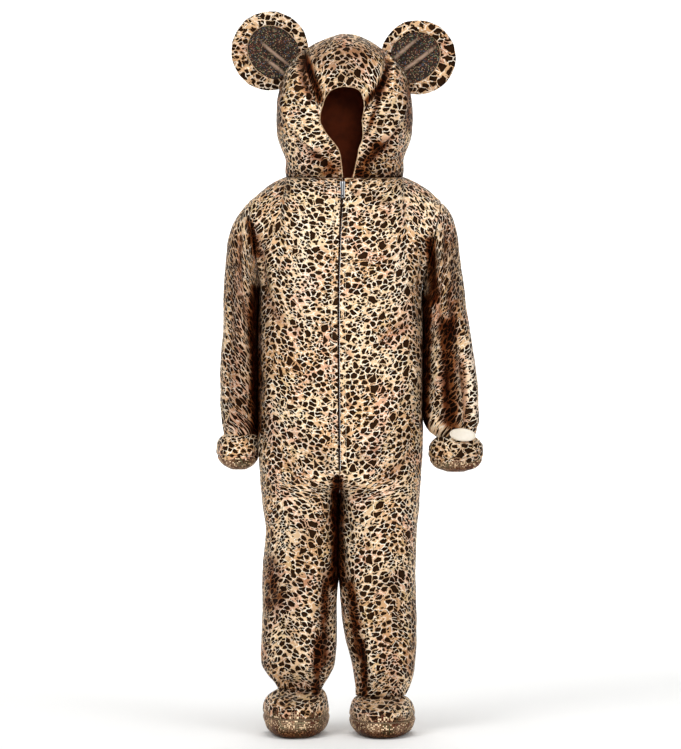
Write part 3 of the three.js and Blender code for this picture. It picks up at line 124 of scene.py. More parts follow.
# The inner edge of each half: the zip line, the centre seam, then the inseams
INNER = table(
    "z left right",
    (40, 4.5, 4.5),
    (10, 1.5, 1.5),
    (-60, -2.3, -2.3),
    (-150, -4.4, -4.4),
    (-300, -3.9, -3.9),
    (-400, -3, -3),
    (-452, -3.3, -2.9),
    (-565, -4.35, -3.95),
    (-618, -7.5, 0),
    (-654, -7, 6),
    (-694, -10, 16),
    (-712, -17, 19),
    (-724, -25, 21.5),
    (-732, -29, 22),
)
# Soft folds of the body pieces: from and to, as share of the way round and height, width and depth.
# A negative depth is a trough.
BODY_FOLDS = table(
    "side face u0 z0 u1 z1 width depth",
    (-1, -1, 0.93, -50, 0.8, -135, 11, -5),
    (-1, -1, 0.75, -150, 0.35, -205, 14, -3.5),
    (-1, -1, 0.3, -235, 0.75, -300, 16, 3),
    (-1, -1, 0.8, -350, 0.4, -400, 13, -3.5),
    (-1, -1, 0.55, -480, 0.45, -640, 15, 4),
    (-1, -1, 0.2, -560, 0.22, -690, 11, -4),
    (1, -1, 0.93, -45, 0.85, -130, 11, -5),
    (1, -1, 0.8, -170, 0.3, -215, 14, -3),
    (1, -1, 0.7, -260, 0.3, -330, 16, 3),
    (1, -1, 0.7, -380, 0.35, -415, 13, -3.5),
    (1, -1, 0.5, -470, 0.55, -620, 15, 4),
    (1, -1, 0.15, -520, 0.2, -690, 10, -4),
    (-1, 1, 0.9, -70, 0.5, -150, 14, -4),
    (1, 1, 0.9, -60, 0.5, -160, 14, -4),
    (-1, 1, 0.7, -420, 0.3, -470, 14, -4),
    (1, 1, 0.6, -410, 0.3, -480, 14, -4),
    (-1, 1, 0.4, -520, 0.5, -670, 14, 4),
    (1, 1, 0.5, -500, 0.4, -660, 14, 4),
)
# Sleeve rings from the armhole to the wrist: the inner and outer point and the depths
SLEEVE_LEFT = table(
    "row innerX innerZ outerX outerZ front back",
    (0, -121, -128, -140, -4, 58, 58),
    (1, -121.9, -134, -153, -20, 58, 58),
    (2, -122.6, -142, -165, -42, 57, 57),
    (3, -123.1, -154, -172, -70, 56, 55),
    (4, -123.8, -170, -175, -104, 55, 53),
    (5, -124.5, -195, -176, -148, 54, 51),
    (6, -124.6, -226, -178, -192, 53, 48),
    (7, -124.6, -260, -181, -240, 52, 45),
    (8, -124.6, -294, -182, -286, 50, 41),
    (9, -124.6, -322, -180, -322, 46, 36),
    (10, -125.2, -339, -178, -340, 38, 30),
    (11, -129, -351, -176, -351, 31, 25),
)
SLEEVE_RIGHT = table(
    "row innerX innerZ outerX outerZ front back",
    (0, 121, -128, 150, -4, 58, 58),
    (1, 121.9, -134, 162, -18, 58, 58),
    (2, 122.4, -142, 171, -40, 57, 57),
    (3, 122.8, -154, 176, -68, 56, 55),
    (4, 123.2, -170, 179, -102, 54, 53),
    (5, 123.6, -195, 185, -146, 53, 50),
    (6, 123.6, -226, 192, -192, 52, 47),
    (7, 123.6, -260, 199, -240, 51, 44),
    (8, 123.6, -294, 205, -288, 49, 41),
    (9, 122.9, -328, 206, -322, 46, 38),
    (10, 131, -346, 204, -342, 38, 32),
    (11, 143, -355.2, 200, -355.2, 30, 25),
)
# Soft folds of the sleeves, as turn round (0 at the top, 0.25 at the front) and row
SLEEVE_FOLDS = table(
    "side t0 row0 t1 row1 width depth",
    (-1, 0.2, 1.5, 0.3, 4.5, 12, -4),
    (-1, 0.16, 5, 0.14, 9, 10, -3.5),
    (-1, 0.28, 5.5, 0.24, 8.5, 11, 3.5),
    (-1, 0.75, 3, 0.7, 8, 12, -3.5),
    (1, 0.2, 1.5, 0.3, 4.5, 12, -4),
    (1, 0.2, 4.5, 0.16, 9.5, 10, -5),
    (1, 0.3, 5, 0.29, 9.5, 9, -5),
    (1, 0.25, 6, 0.23, 9.5, 9, 4),
    (1, 0.1, 6, 0.08, 9.5, 10, 3.5),
    (1, 0.75, 4, 0.72, 9, 12, -3.5),
)
# Mitt rings from the wrist down: left and right edge, front and back reach
MITT_LEFT = table(
    "z left right front back",
    (-351.1, -176, -129, 31, 25),
    (-357, -183, -127, 37, 30),
    (-366, -187, -125.3, 42, 35),
    (-378, -187.5, -125, 43, 37),
    (-389, -184, -126.5, 40, 34),
    (-398, -177, -133, 32, 27),
    (-404, -165, -143, 18, 14),
)
MITT_RIGHT = table(
    "z left right front back",
    (-355.3, 143, 200, 30, 25),
    (-362, 135, 208, 35, 29),
    (-371, 131, 212, 38, 32),
    (-382, 131, 212, 38, 33),
    (-393, 134, 209, 35, 30),
    (-402, 142, 200, 28, 24),
    (-407.5, 158, 184, 15, 12),
)
# Foot cover rings from the ankle down: half width, toe and heel reach; z is below the ankle
FOOT = table(
    "z half toe heel",
    (-0.4, 33, 32, 32),
    (-5, 40, 46, 40),
    (-12, 45.5, 68, 47),
    (-24, 48.5, 92, 52),
    (-38, 49, 104, 55),
    (-50, 46, 106, 54),
    (-58, 39, 99, 48),
    (-61, 30, 88, 40),
)
# Hood arches from the face edge to the back of the neck: where the foot of the arch stands on the
# neck ring, its apex, its half width and how far the panel seams stand round it
HOOD = table(
    "row baseY apexY apexZ half seam",
    (0, -75.2, -96, 162, 31, 0.42),
    (1, -72, -104, 180, 58, 0.35),
    (2, -63, -94, 208, 82, 0.31),
    (3, -50, -70, 230, 95, 0.3),
    (4, -33, -38, 241, 101, 0.3),
    (5, -14, 0, 243, 102, 0.31),
    (6, 4, 40, 236, 101, 0.32),
    (7, 19, 78, 212, 100, 0.34),
    (8, 31, 101, 172, 97, 0.36),
    (9, 39, 106, 126, 91, 0.39),
    (10, 43, 94, 80, 81, 0.42),
    (11, 45, 70.6, 40.6, 68, 0.45),
)
HOOD_FOLDS = table(
    "a0 row0 a1 row1 width depth",
    (-0.4, 0.9, -0.32, 3.4, 9, -9),
    (0.4, 0.9, 0.32, 3.2, 9, -7.5),
    (0, 1.4, 0.02, 3.6, 26, 5),
    (-0.75, 1.8, -0.92, 0.6, 10, -5),
    (0.72, 2, 0.9, 0.6, 10, -5),
    (-0.62, 2.6, -0.8, 1, 10, 4),
    (0.6, 2.6, 0.78, 1, 10, 4),
    (-0.2, 7, -0.3, 10, 16, -3.5),
    (0.25, 7, 0.2, 10, 16, -3.5),
)

# The edge of the face opening from its top down: an uneven drop
FACE_EDGE = table(
    "z left right",
    (162, 4.5, 4.5),
    (161.4, -2, 12),
    (158, -12, 22),
    (154.5, -17.7, 27.7),
    (145, -24, 31.5),
    (133.5, -27.7, 33.7),
    (123, -31, 32.5),
    (112.5, -32, 30.7),
    (102, -28, 31.5),
    (91.5, -21.7, 32),
    (81, -13, 30),
    (70.5, -5.3, 26),
    (60, -2, 24.5),
    (49.5, -0.7, 22),
    (30, 1.2, 18.5),
)

# Painted shade and painted light in soft strokes: a positive strength darkens the colour in painted shade
# and draws the print denser, a negative one lightens it in painted light. x and z of both ends, width and
# strength
SHADES = [
    # Hood
    (-56, 208, -31, 142, 6, 1.0),
    (70, 195, 62, 168, 5, 0.6),
    (62, 168, 34, 136, 5, 0.65),
    (60, 158, 37, 92, 4, 0.5),
    (-40, 60, -8, 38, 12, 0.45),
    (54, 72, 26, 40, 12, 0.5),
    (-92, 176, -94, 108, 9, 0.35),
    (100, 172, 102, 104, 9, 0.4),
    (-82, 36, -18, 34, 7, 0.35),
    (26, 34, 92, 36, 7, 0.4),
    (-30, 214, 36, 210, 28, 0.34),
    (-8, 182, 22, 180, 12, 0.15),
    (76, 128, 60, 60, 26, 0.2),
    # Shoulders, armholes and the sides of the body
    (-137, -36, -126, -84, 6, 0.7),
    (132, -64, 137, -150, 7, 0.95),
    (-130, -136, -128, -345, 7, 1.0),
    (128, -150, 125, -345, 6, 0.9),
    (-112, -60, -114, -340, 10, 0.22),
    (112, -60, 112, -330, 9, 0.2),
    (20, 6, 64, -6, 9, 0.3),
    (-60, 16, -28, 10, 8, 0.2),
    (84, -78, 92, -132, 17, -0.3),
    (-56, -26, -48, -190, 20, -0.22),
    (-70, -350, -20, -392, 16, 0.22),
    (96, -350, 30, -384, 16, 0.22),
    # Sleeves
    (-158, -70, -152, -330, 20, 0.34),
    (160, -60, 170, -190, 20, 0.34),
    (156, -190, 162, -332, 14, 0.75),
    (190, -190, 197, -330, 8, -0.35),
    (-172, -150, -176, -330, 6, -0.25),
    # Legs
    (-6, -420, -7, -572, 9, 1.1),
    (-60, -470, -58, -560, 14, 0.2),
    (-22, -575, -25, -690, 8, 0.6),
    (12, -575, 24, -680, 8, 0.7),
    (-36, -655, -37, -735, 6, 0.65),
    (31, -660, 33, -738, 6, 0.65),
    (42, -655, 44, -735, 4, -0.45),
    (-104, -540, -100, -600, 15, 0.45),
    (-78, -590, -76, -700, 26, 0.2),
    (74, -560, 74, -700, 26, 0.2),
    (-112, -600, -112, -700, 7, 0.25),
    (108, -600, 106, -700, 7, 0.25),
    # Mitts and foot covers
    (184, -366, 178, -398, 22, 0.25),
    (-80, -742, -54, -742, 20, 0.2),
    (46, -750, 74, -750, 20, 0.2),
    (-100, -792, -36, -792, 13, 0.8),
    (30, -795, 92, -795, 13, 0.8),
    (-172, -402, -140, -402, 7, 0.6),
    (152, -405, 192, -405, 7, 0.6),
]

# Creases seen from the front, as x and z of both ends, how far the middle bows to the right, width and
# depth. A negative depth is a trough.
FRONT_CREASES = [
    # Chest and shoulders
    (-138, -38, -126, -80, -3, 7, -3.5),
    (-62, 19, -112, -6, 2, 6, -1.8),
    (-35, 15, -72, -12, 1, 5, -1.5),
    (-116, -53, -76, -59, 3, 7, -2.4),
    (-86, -22, -32, -34, 2, 9, 1.2),
    (-119, -104, -98, -152, 3, 6, -2),
    (-77, -92, -46, -103, -2, 6, -1.3),
    (-125, -195, -119, -302, 2, 6, -2.5),
    (-107, -216, -60, -229, 2, 8, -1.4),
    (-115, -337, -84, -368, -2, 8, -1.8),
    (-47, -359, -13, -402, 3, 8, -1.8),
    (-20, -412, -64, -482, -5, 9, -2.4),
    (-7, -420, -25, -512, -3, 8, -2.5),
    (35, 15, 90, 2, 2, 8, -1.9),
    (25, -21, 66, -25, 2, 7, -1.6),
    (46, -75, 82, -94, 2, 10, 1.3),
    (111, -104, 124, -196, 3, 7, -2.2),
    (5, -131, 38, -145, 2, 7, -1.3),
    (13, -216, 56, -229, -2, 8, -1.3),
    (80, -225, 107, -260, 3, 7, -1.5),
    (95, -300, 116, -319, -2, 7, -1.8),
    (13, -345, 47, -368, 2, 8, -1.5),
    (5, -404, 52, -466, 5, 8, -2.3),
    (3, -427, 16, -518, 3, 7, -2.6),
    # Legs
    (-119, -516, -98, -564, 3, 9, -2.5),
    (-25, -540, -36, -662, -3, 7, -2.6),
    (-107, -576, -84, -662, 4, 7, -2),
    (-38, -660, -35, -728, 2, 6, -3.6),
    (-86, -682, -76, -727, 2, 5, -1.8),
    (-63, -689, -58, -729, 0, 4, -1.6),
    (-105, -674, -91, -722, 2, 6, -2),
    (13, -540, 31, -662, 3, 7, -2.5),
    (46, -540, 65, -632, -3, 8, -1.8),
    (65, -584, 88, -676, -3, 8, -1.6),
    (28, -660, 34, -736, -2, 6, -3.6),
    (46, -674, 50, -733, 0, 6, 1.8),
    (64, -682, 67, -736, 0, 4, -1.7),
    (86, -682, 82, -733, 0, 4, -1.8),
    (104, -696, 93, -736, 0, 5, -2.2),
    # Sleeves
    (-158, -92, -147, -182, 3, 8, -2.4),
    (-143, -150, -131, -227, 3, 8, -3),
    (-159, -216, -151, -287, -2, 7, -1.6),
    (-169, -150, -170, -332, 1, 7, 1.4),
    (-152, -291, -144, -344, 2, 6, -2.4),
    (-165, -321, -157, -349, 0, 4, -1.7),
    (-137, -300, -138, -346, 1, 5, -2.2),
    (157, -52, 171, -94, 2, 8, -1.8),
    (170, -104, 182, -152, 3, 8, -2.6),
    (134, -66, 137, -146, 3, 7, -3.4),
    (137, -150, 133, -302, -1, 6, -2),
    (154, -194, 157, -332, -2, 8, -3.2),
    (170, -210, 176, -302, 2, 8, 1.6),
    (142, -216, 144, -331, 1, 6, 1.6),
    (184, -227, 188, -339, 2, 6, -1.8),
    (125, -311, 149, -339, -5, 7, -2.6),
    (160, -326, 167, -352, 1, 4, -1.8),
    # Mitts
    (-174, -359, -163, -379, 1, 4, -1.3),
    (-152, -357, -147, -376, 0, 4, -1.2),
    (-137, -362, -140, -383, 0, 4, -1.6),
    (145, -360, 149, -383, 1, 4, -1.6),
    (166, -368, 162, -388, 0, 4, -1.2),
    (187, -366, 194, -385, 1, 4, -1.3),
    # Foot covers
    (-85, -737, -90, -760, -1, 4, -1.4),
    (-62, -735, -63, -754, 0, 3.5, -1.3),
    (-40, -737, -35, -757, 1, 4, -1.3),
    (46, -745, 39, -763, -1, 4, -1.3),
    (69, -745, 73, -763, 1, 4, -1.3),
    (90, -747, 99, -763, 1, 4, -1.3),
    # Hood
    (-55, 211, -29, 141, 3, 6, -4.5),
    (67, 176, 32, 140, -4, 6, -4),
    (60, 158, 36, 88, -5, 5, -2.4),
    (-2, 212, 4, 168, 1, 4, -1.7),
    (13, 208, 13, 164, -1, 4, -1.6),
    (26, 203, 22, 158, -2, 4, -1.6),
    (-18, 208, -10, 161, 2, 4, -1.7),
    (-31, 197, -20, 152, 2, 4, -1.5),
    (-77, 113, -2, 37, -5, 6, -2.6),
    (-87, 91, -38, 35, -4, 6, -2.1),
    (-62, 124, -25, 89, -2, 6, -1.7),
    (-56, 76, -10, 33, -3, 5, -1.7),
    (88, 136, 28, 51, 5, 6, -2.6),
    (95, 99, 44, 44, 4, 6, -2.1),
    (77, 76, 30, 33, 3, 5, -1.7),
]

# Creases on the side that the photograph doesn't show, placed in the same manner
BACK_CREASES = [
    (-134, -42, -112, -104, 4, 8, -3.4),
    (-100, -18, -52, -46, 3, 8, -1.8),
    (-70, -70, -28, -96, -3, 9, -1.6),
    (-116, -140, -84, -196, 4, 8, -2.2),
    (-96, -232, -40, -246, 3, 9, -1.6),
    (-110, -318, -66, -352, -3, 9, -2),
    (-60, -372, -12, -402, 4, 9, -2.4),
    (-88, -420, -30, -448, 6, 8, -2.6),
    (-12, -440, -34, -530, -4, 8, -2.6),
    (-112, -520, -88, -590, 4, 9, -2.2),
    (-44, -548, -36, -640, 3, 8, -2),
    (-84, -640, -72, -724, 3, 6, -2.2),
    (-50, -668, -46, -728, -1, 5, -2),
    (-104, -668, -94, -722, 2, 6, -2),
    (140, -40, 116, -106, -4, 8, -3.4),
    (104, -14, 60, -44, -3, 8, -1.7),
    (82, -84, 30, -104, 3, 9, -1.6),
    (118, -150, 92, -204, -4, 8, -2.1),
    (90, -220, 34, -238, -3, 9, -1.6),
    (112, -330, 60, -356, 3, 9, -2),
    (70, -384, 8, -410, -5, 9, -2.4),
    (92, -428, 36, -458, -6, 8, -2.5),
    (8, -446, 26, -524, 4, 8, -2.6),
    (106, -530, 84, -606, -4, 9, -2.1),
    (48, -560, 40, -652, -3, 8, -2),
    (84, -650, 74, -732, -3, 6, -2.2),
    (48, -672, 50, -736, 1, 5, -2),
    (102, -684, 94, -734, -2, 5, -2),
    (-166, -96, -152, -190, -3, 8, -2.4),
    (-140, -170, -146, -262, -3, 8, -2.4),
    (-168, -236, -158, -322, 3, 7, -1.8),
    (-146, -296, -150, -346, 1, 5, -2),
    (172, -100, 160, -196, 3, 8, -2.3),
    (142, -160, 150, -250, 3, 8, -2.4),
    (186, -230, 176, -330, -3, 7, -1.9),
    (156, -286, 160, -350, 1, 6, -2.2),
    (-70, 170, -34, 96, 4, 9, -2.2),
    (74, 176, 40, 100, -4, 9, -2.2),
    (-52, 96, -24, 48, 3, 7, -2),
    (58, 100, 32, 46, -3, 7, -2),
    (-8, 110, -2, 50, 2, 7, -1.6),
]

# Which small gathers stand round an elastic: how many, their depth and reach along the cloth
GATHERS = {
    "wrist_left": dict(count=17, depth=1.3, reach=17, seed=3),
    "wrist_right": dict(count=19, depth=1.4, reach=18, seed=8),
    "ankle_left": dict(count=21, depth=1.7, reach=21, seed=12),
    "ankle_right": dict(count=20, depth=1.7, reach=21, seed=27),
    "face": dict(count=26, depth=1.2, reach=11, seed=31),
}

EARS = {
    "left": dict(x=-107, y=-6, z=223, radius_x=58.5, radius_z=60,
                 panel_x=-101, panel_z=219.5, panel_radius_x=38, panel_radius_z=42, base=-0.56),
    "right": dict(x=115, y=-6, z=213.5, radius_x=57, radius_z=56,
                  panel_x=108, panel_z=212, panel_radius_x=38, panel_radius_z=40, base=3.7),
}
EAR_HALF_THICK = 8
EAR_EDGE_ROUND = 12
EAR_DISH = 3
# Raised ridges of the ears' panels, in the same form as the creases; the glitter cloth paints a highlight
# along them
EAR_RIDGES = {
    "left": [(-128, 244, -66, 192, 2, 4.5, 1.1), (-120, 214, -78, 180, -2, 4.5, 1.1)],
    "right": [(154, 240, 78, 184, -2, 4.5, 1.1), (124, 248, 66, 196, 2, 4.5, 1.0)],
}
EAR_SHADE = {"back": 0.1, "rim": 0.2, "panel": 0.0}
EAR_PRINT_SCALE = 0.85
# The ears' print is drawn in a place of its own on the cloth, set by the seed
EAR_PRINT_STEP = (0.37, 0.11)
# The narrowest that an ear's rim gets, as a share of its flat face
RIM_LEAST_SHARE = 0.06
# How far the foot covers' print is drawn out down the toe and round it, so that it looks even from ahead
FOOT_PRINT_LENGTH = 0.6
FOOT_PRINT_WIDTH = 0.82
# Where the back's centre seam stops lapping, and the front's stops drawing close
BACK_LAP_END_Z = -446
FRONT_LAP_END_Z = -450
FRONT_LAP = 0.15

PATCH = dict(x=180.5, z=-351.5, y=41.7, half_x=19.5, half_z=9.5, thick=1.2, tilt=0.08, wrap=60)


# Numbers


def smooth(value):
    share = np.clip(value, 0, 1)
    return share * share * (3 - 2 * share)


def mix(a, b, share):
    return a + (b - a) * share


def bell(value):
    return np.exp(-(value ** 2))


def sample(rows, along, key, value):
    """Monotone cubic interpolation of one column of a table, along another."""
    x = np.array([row[along] for row in rows], float)
    y = np.array([row[key] for row in rows], float)
    if x[0] > x[-1]:
        x, y = x[::-1], y[::-1]
    steps = np.diff(y) / np.diff(x)
    before, after = steps[:-1], steps[1:]
    total = np.where(before * after > 0, before + after, 1)
    inner = np.where(before * after > 0, 2 * before * after / total, 0)
    slopes = np.concatenate([steps[:1], inner, steps[-1:]])
    value = np.clip(value, x[0], x[-1])
    i = np.clip(np.searchsorted(x, value, side="right") - 1, 0, len(x) - 2)
    span = x[i + 1] - x[i]
    s = (value - x[i]) / span
    start = y[i] * (1 + 2 * s) * (1 - s) ** 2 + slopes[i] * span * s * (1 - s) ** 2
    end = y[i + 1] * s * s * (3 - 2 * s) + slopes[i + 1] * span * s * s * (s - 1)
    return start + end


def side_name(side):
    return "left" if side == LEFT else "right"


def stack(x, y, z):
    return np.stack(np.broadcast_arrays(x, y, z), axis=-1).astype(float)


def unit(vectors):
    length = np.linalg.norm(vectors, axis=-1, keepdims=True)
    return vectors / np.where(length < 1e-12, 1, length)


def flat_folds(folds, measure_u, measure_v):
    """The depth of soft folds that are given in a piece's own flat measure."""
    depth = np.zeros_like(measure_u)
    for (u0, v0), (u1, v1), width, fold_depth in folds:
        along_u, along_v = u1 - u0, v1 - v0
        share = ((measure_u - u0) * along_u + (measure_v - v0) * along_v) / (along_u ** 2 + along_v ** 2)
        share = np.clip(share, 0, 1)
        distance = np.hypot(measure_u - u0 - along_u * share, measure_v - v0 - along_v * share)
        depth += fold_depth * bell(distance / width)
    return depth


def creases(rows, x, z):
    """The depth of the listed creases, with a low ridge on one side of each."""
    depth = np.zeros_like(x)
    for x0, z0, x1, z1, bow, width, crease_depth in rows:
        length = math.hypot(x1 - x0, z1 - z0)
        along_x, along_z = (x1 - x0) / length, (z1 - z0) / length
        along = (x - x0) * along_x + (z - z0) * along_z
        share = np.clip(along / length, 0, 1)
        past = along - share * length
        across = (x - x0) * -along_z + (z - z0) * along_x + bow * 4 * share * (1 - share)
        taper = np.sin(np.pi * np.clip(share, 0.04, 0.96)) ** 0.7 * bell(past / width)
        depth += crease_depth * taper * (bell(across / width) - 0.35 * bell((across - 1.8 * width) / width))
    return depth


def shade_strokes(x, z):
    total = np.zeros_like(x)
    for x0, z0, x1, z1, width, strength in SHADES:
        along_x, along_z = x1 - x0, z1 - z0
        share = np.clip(((x - x0) * along_x + (z - z0) * along_z) / (along_x ** 2 + along_z ** 2), 0, 1)
        total += strength * bell(np.hypot(x - x0 - along_x * share, z - z0 - along_z * share) / width)
    return np.clip(total, -0.6, 1)


# Parts that press on each other


def leg_contact(z):
    """Where the legs touch, and how far they do."""
    middle = (sample(INNER, "z", "left", z) + sample(INNER, "z", "right", z)) / 2
    return middle, smooth((CROTCH_TOP_Z - 6 - z) / 16) * smooth((z + 572) / 18)


def arm_contact(side, z):
    """Where a sleeve or mitt touches the body's side, and how far it does."""
    plane = side * (sample(BODY, "z", side_name(side), z) + 0.3)
    return plane, smooth((-130 - z) / 8) * smooth((z - ARM_CONTACT_END[side]) / 14)


def press(points, plane, away, strength, near):
    """Flattens cloth against its neighbour, which lies across the plane. away is the side that it keeps to.
    Both cloths follow the same soft S, so no light falls between them."""
    y = points[..., 1]
    clear = plane + away * CONTACT_GAP
    flat = strength * near * smooth((20 - np.abs(y)) / 8)
    x = mix(points[..., 0], clear, flat)
    kept = np.where(away > 0, np.maximum(x, clear), np.minimum(x, clear))
    x = np.where(strength * near > 0.001, mix(x, kept, np.minimum(strength * near * 4, 1)), x)
    x += 1.4 * np.sin(y / 9) * smooth((32 - np.abs(y)) / 12) * strength * near
    pressed = points.copy()
    pressed[..., 0] = x
    return pressed, flat


def ripple(points, size, seed, count=16):
    """Seeded soft unevenness in space, from about -1 to 1, with bumps of about the given size."""
    random = np.random.default_rng(seed)
    total = np.zeros(points.shape[:-1])
    for _ in range(count):
        direction = unit(random.normal(size=3))
        wave = 2 * math.pi / size * random.uniform(0.6, 1.4)
        total += np.sin(points @ (direction * wave) + random.uniform(0, 2 * math.pi))
    return total / math.sqrt(count * 2)


def gathers(name, turn, distance):
    """Small folds of uneven width and length round an elastic. turn is the way round, from 0 to 1."""
    spec = GATHERS[name]
    random = np.random.default_rng(spec["seed"])
    count = spec["count"]
    depth = np.zeros(np.broadcast(turn, distance).shape)
    for index in range(count):
        place = (index + random.uniform(-0.3, 0.3)) / count
        width = random.uniform(0.26, 0.42) / count
        reach = spec["reach"] * random.uniform(0.5, 1.6)
        strength = spec["depth"] * random.uniform(0.6, 1.3)
        lean = random.uniform(-0.012, 0.012)
        away = (turn - place - lean * np.abs(distance) / 20 + 0.5) % 1 - 0.5
        depth -= strength * bell(away / width) * bell(distance / reach)
    return depth


def elastic(name, turn, distance):
    """Gathers, with the cloth drawn in beside the elastic."""
    return gathers(name, turn, distance) + 0.5 * bell(distance / 9)


# Grids of cloth


def normals_of(points, away, wrap=False):
    if wrap:
        across = np.roll(points, -1, axis=1) - np.roll(points, 1, axis=1)
    else:
        across = np.gradient(points, axis=1)
    down = np.gradient(points, axis=0)
    normals = unit(np.cross(across, down))
    facing = np.sum(normals * (points - away), axis=-1, keepdims=True)
    return np.where(facing < 0, -normals, normals)


def row_middles(points):
    return points.mean(axis=1, keepdims=True)


def relief(points, normals, seed):
    """Listed creases and soft unevenness, in millimetres out of the cloth."""
    x, z = points[..., 0], points[..., 2]
    ahead = smooth(-normals[..., 1] / 0.45)
    behind = smooth(normals[..., 1] / 0.45)
    depth = creases(FRONT_CREASES, x, z) * ahead + creases(BACK_CREASES, x, z) * behind
    drawn = points * np.array([1, 1, 0.45])
    return depth + 0.9 * ripple(points, 64, 5) + 0.4 * ripple(drawn, 21, 6) + 0.16 * ripple(drawn, 9, 7)


def seam_groove(distance):
    """Cloth pulled in by the stitches of a seam, with a soft roll beside it."""
    return -1.2 * bell(distance / 2.2) + 0.35 * bell((distance - 5.5) / 2.6)


def lengths(points, axis):
    """Running length along the rows or columns of a grid."""
    steps = np.linalg.norm(np.diff(points, axis=axis), axis=-1)
    start = np.zeros_like(np.take(steps, [0], axis=axis))
    return np.concatenate([start, np.cumsum(steps, axis=axis)], axis=axis)


def metric_uv(points, offset, wrap=False, own=0.0):
    """Lengths over the cloth, in metres, from the middle of the piece.
    own is how far each column keeps its own length down."""
    if wrap:
        points = np.concatenate([points, points[:, :1]], axis=1)
    across = lengths(points, 1)
    middle = points.shape[1] // 2
    across = across - across[:, middle:middle + 1]
    down = mix(lengths(points[:, middle:middle + 1], 0), lengths(points, 0), own)
    uv = np.stack(np.broadcast_arrays(across, -down), axis=-1) * MM
    return uv + np.array(offset)


def move_edge(points, edge, amount):
    """Draws one edge of a grid in, so that neighbouring pieces stay a seam apart."""
    moved = points.copy()
    if edge == "first":
        moved[:, 0] += unit(points[:, 1] - points[:, 0]) * np.reshape(amount, (-1, 1))
    if edge == "last":
        moved[:, -1] += unit(points[:, -2] - points[:, -1]) * np.reshape(amount, (-1, 1))
    if edge == "top":
        moved[0] += unit(points[1] - points[0]) * amount
    if edge == "bottom":
        moved[-1] += unit(points[-2] - points[-1]) * amount
    return moved


def grid_mesh(name, outer, normals, thickness, uv, shades=None, wrap=False):
    """A thin closed wall between a grid and the same grid moved in."""
    rows, columns = outer.shape[:2]
    inner = outer - normals * thickness
    cells = columns if wrap else columns - 1
    r, c = np.meshgrid(np.arange(rows - 1), np.arange(cells), indexing="ij")
    corner_rows = np.stack([r, r, r + 1, r + 1], axis=-1).reshape(-1, 4)
    corner_columns = np.stack([c, c + 1, c + 1, c], axis=-1).reshape(-1, 4)
    across = np.arange(cells)
    zero, last = np.zeros_like(across), np.full_like(across, rows - 1)
    down = np.arange(rows - 1)

    outer_index = corner_rows * columns + corner_columns % columns
    count = rows * columns
    faces = [outer_index, (outer_index + count)[:, ::-1]]
    corners = [(corner_rows, corner_columns), (corner_rows[:, ::-1], corner_columns[:, ::-1])]

    def rim(row_a, column_a, row_b, column_b):
        a = row_a * columns + column_a % columns
        b = row_b * columns + column_b % columns
        faces.append(np.stack([b, a, a + count, b + count], axis=-1))
        corners.append((
            np.stack([row_b, row_a, row_a, row_b], axis=-1),
            np.stack([column_b, column_a, column_a, column_b], axis=-1),
        ))

    rim(zero, across, zero, across + 1)
    rim(last, across + 1, last, across)
    if not wrap:
        first_column, last_column = np.zeros_like(down), np.full_like(down, columns - 1)
        rim(down + 1, first_column, down, first_column)
        rim(down, last_column, down + 1, last_column)

    faces = np.concatenate(faces)
    uv_rows = np.concatenate([pair[0] for pair in corners])
    uv_columns = np.concatenate([pair[1] for pair in corners])
    vertices = np.concatenate([outer.reshape(-1, 3), inner.reshape(-1, 3)]) * MM
    mesh = bpy.data.meshes.new(name)
    mesh.from_pydata(vertices.tolist(), [], faces.tolist())
    layer = mesh.uv_layers.new(name="cloth")
    layer.data.foreach_set("uv", uv[uv_rows, uv_columns].astype(np.float32).ravel())
    for shade, values in (shades or {}).items():
        attribute = mesh.attributes.new(shade, "FLOAT", "POINT")
        both = np.concatenate([values.ravel(), values.ravel()])
        attribute.data.foreach_set("value", both.astype(np.float32))
    return settled(mesh)


def settled(mesh):
    """Welds poles, turns the faces out and shades smooth."""
    work = bmesh.new()
    work.from_mesh(mesh)
    bmesh.ops.remove_doubles(work, verts=work.verts, dist=2e-6)
    if work.calc_volume(signed=True) < 0:
        bmesh.ops.reverse_faces(work, faces=work.faces)
    for face in work.faces:
        face.smooth = True
    work.to_mesh(mesh)
    work.free()
    return mesh


def add_piece(name, mesh, material, replaced=(), body="suit"):
    piece = bpy.data.objects.new(name, mesh)
    mesh.materials.append(material)
    bpy.context.collection.objects.link(piece)
    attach(piece, body)
    if replaced:
        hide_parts(*replaced)
    return piece


# Body pieces


def neck_height(y):
    return mix(NECK_Z_FRONT, NECK_Z_BACK, (y + NECK_FRONT) / (NECK_FRONT + NECK_BACK))


def neck_point(side, angle):
    reach = np.where(angle < math.pi / 2, NECK_FRONT, NECK_BACK)
    y = -reach * np.cos(angle)
    return stack(NECK_X + side * NECK_HALF * np.sin(angle), y, neck_height(y))


NECK_PLANE = unit(np.array([0.0, NECK_Z_FRONT - NECK_Z_BACK, NECK_FRONT + NECK_BACK]))


def ring_point(side, face, u, z):
    """A body ring: u runs from the centre or inseam at 0 to the side at 1."""
    outer = side * sample(BODY, "z", side_name(side), z)
    inner = sample(INNER, "z", side_name(side), z)
    closing = smooth((CROTCH_TOP_Z - z) / (CROTCH_TOP_Z - CROTCH_Z))
    end_angle = math.pi / 2 * np.cos(closing * math.pi / 2)
    radius = np.abs(outer - inner) / (1 + np.cos(end_angle))
    angle = mix(end_angle, math.pi, u)
    depth = sample(BODY, "z", "front" if face == FRONT else "back", z)
    square = sample(BODY, "z", "square", z)
    y = face * depth * np.abs(np.sin(angle)) ** square
    return stack(outer - side * radius * (1 + np.cos(angle)), y, ankle_level(side, z))


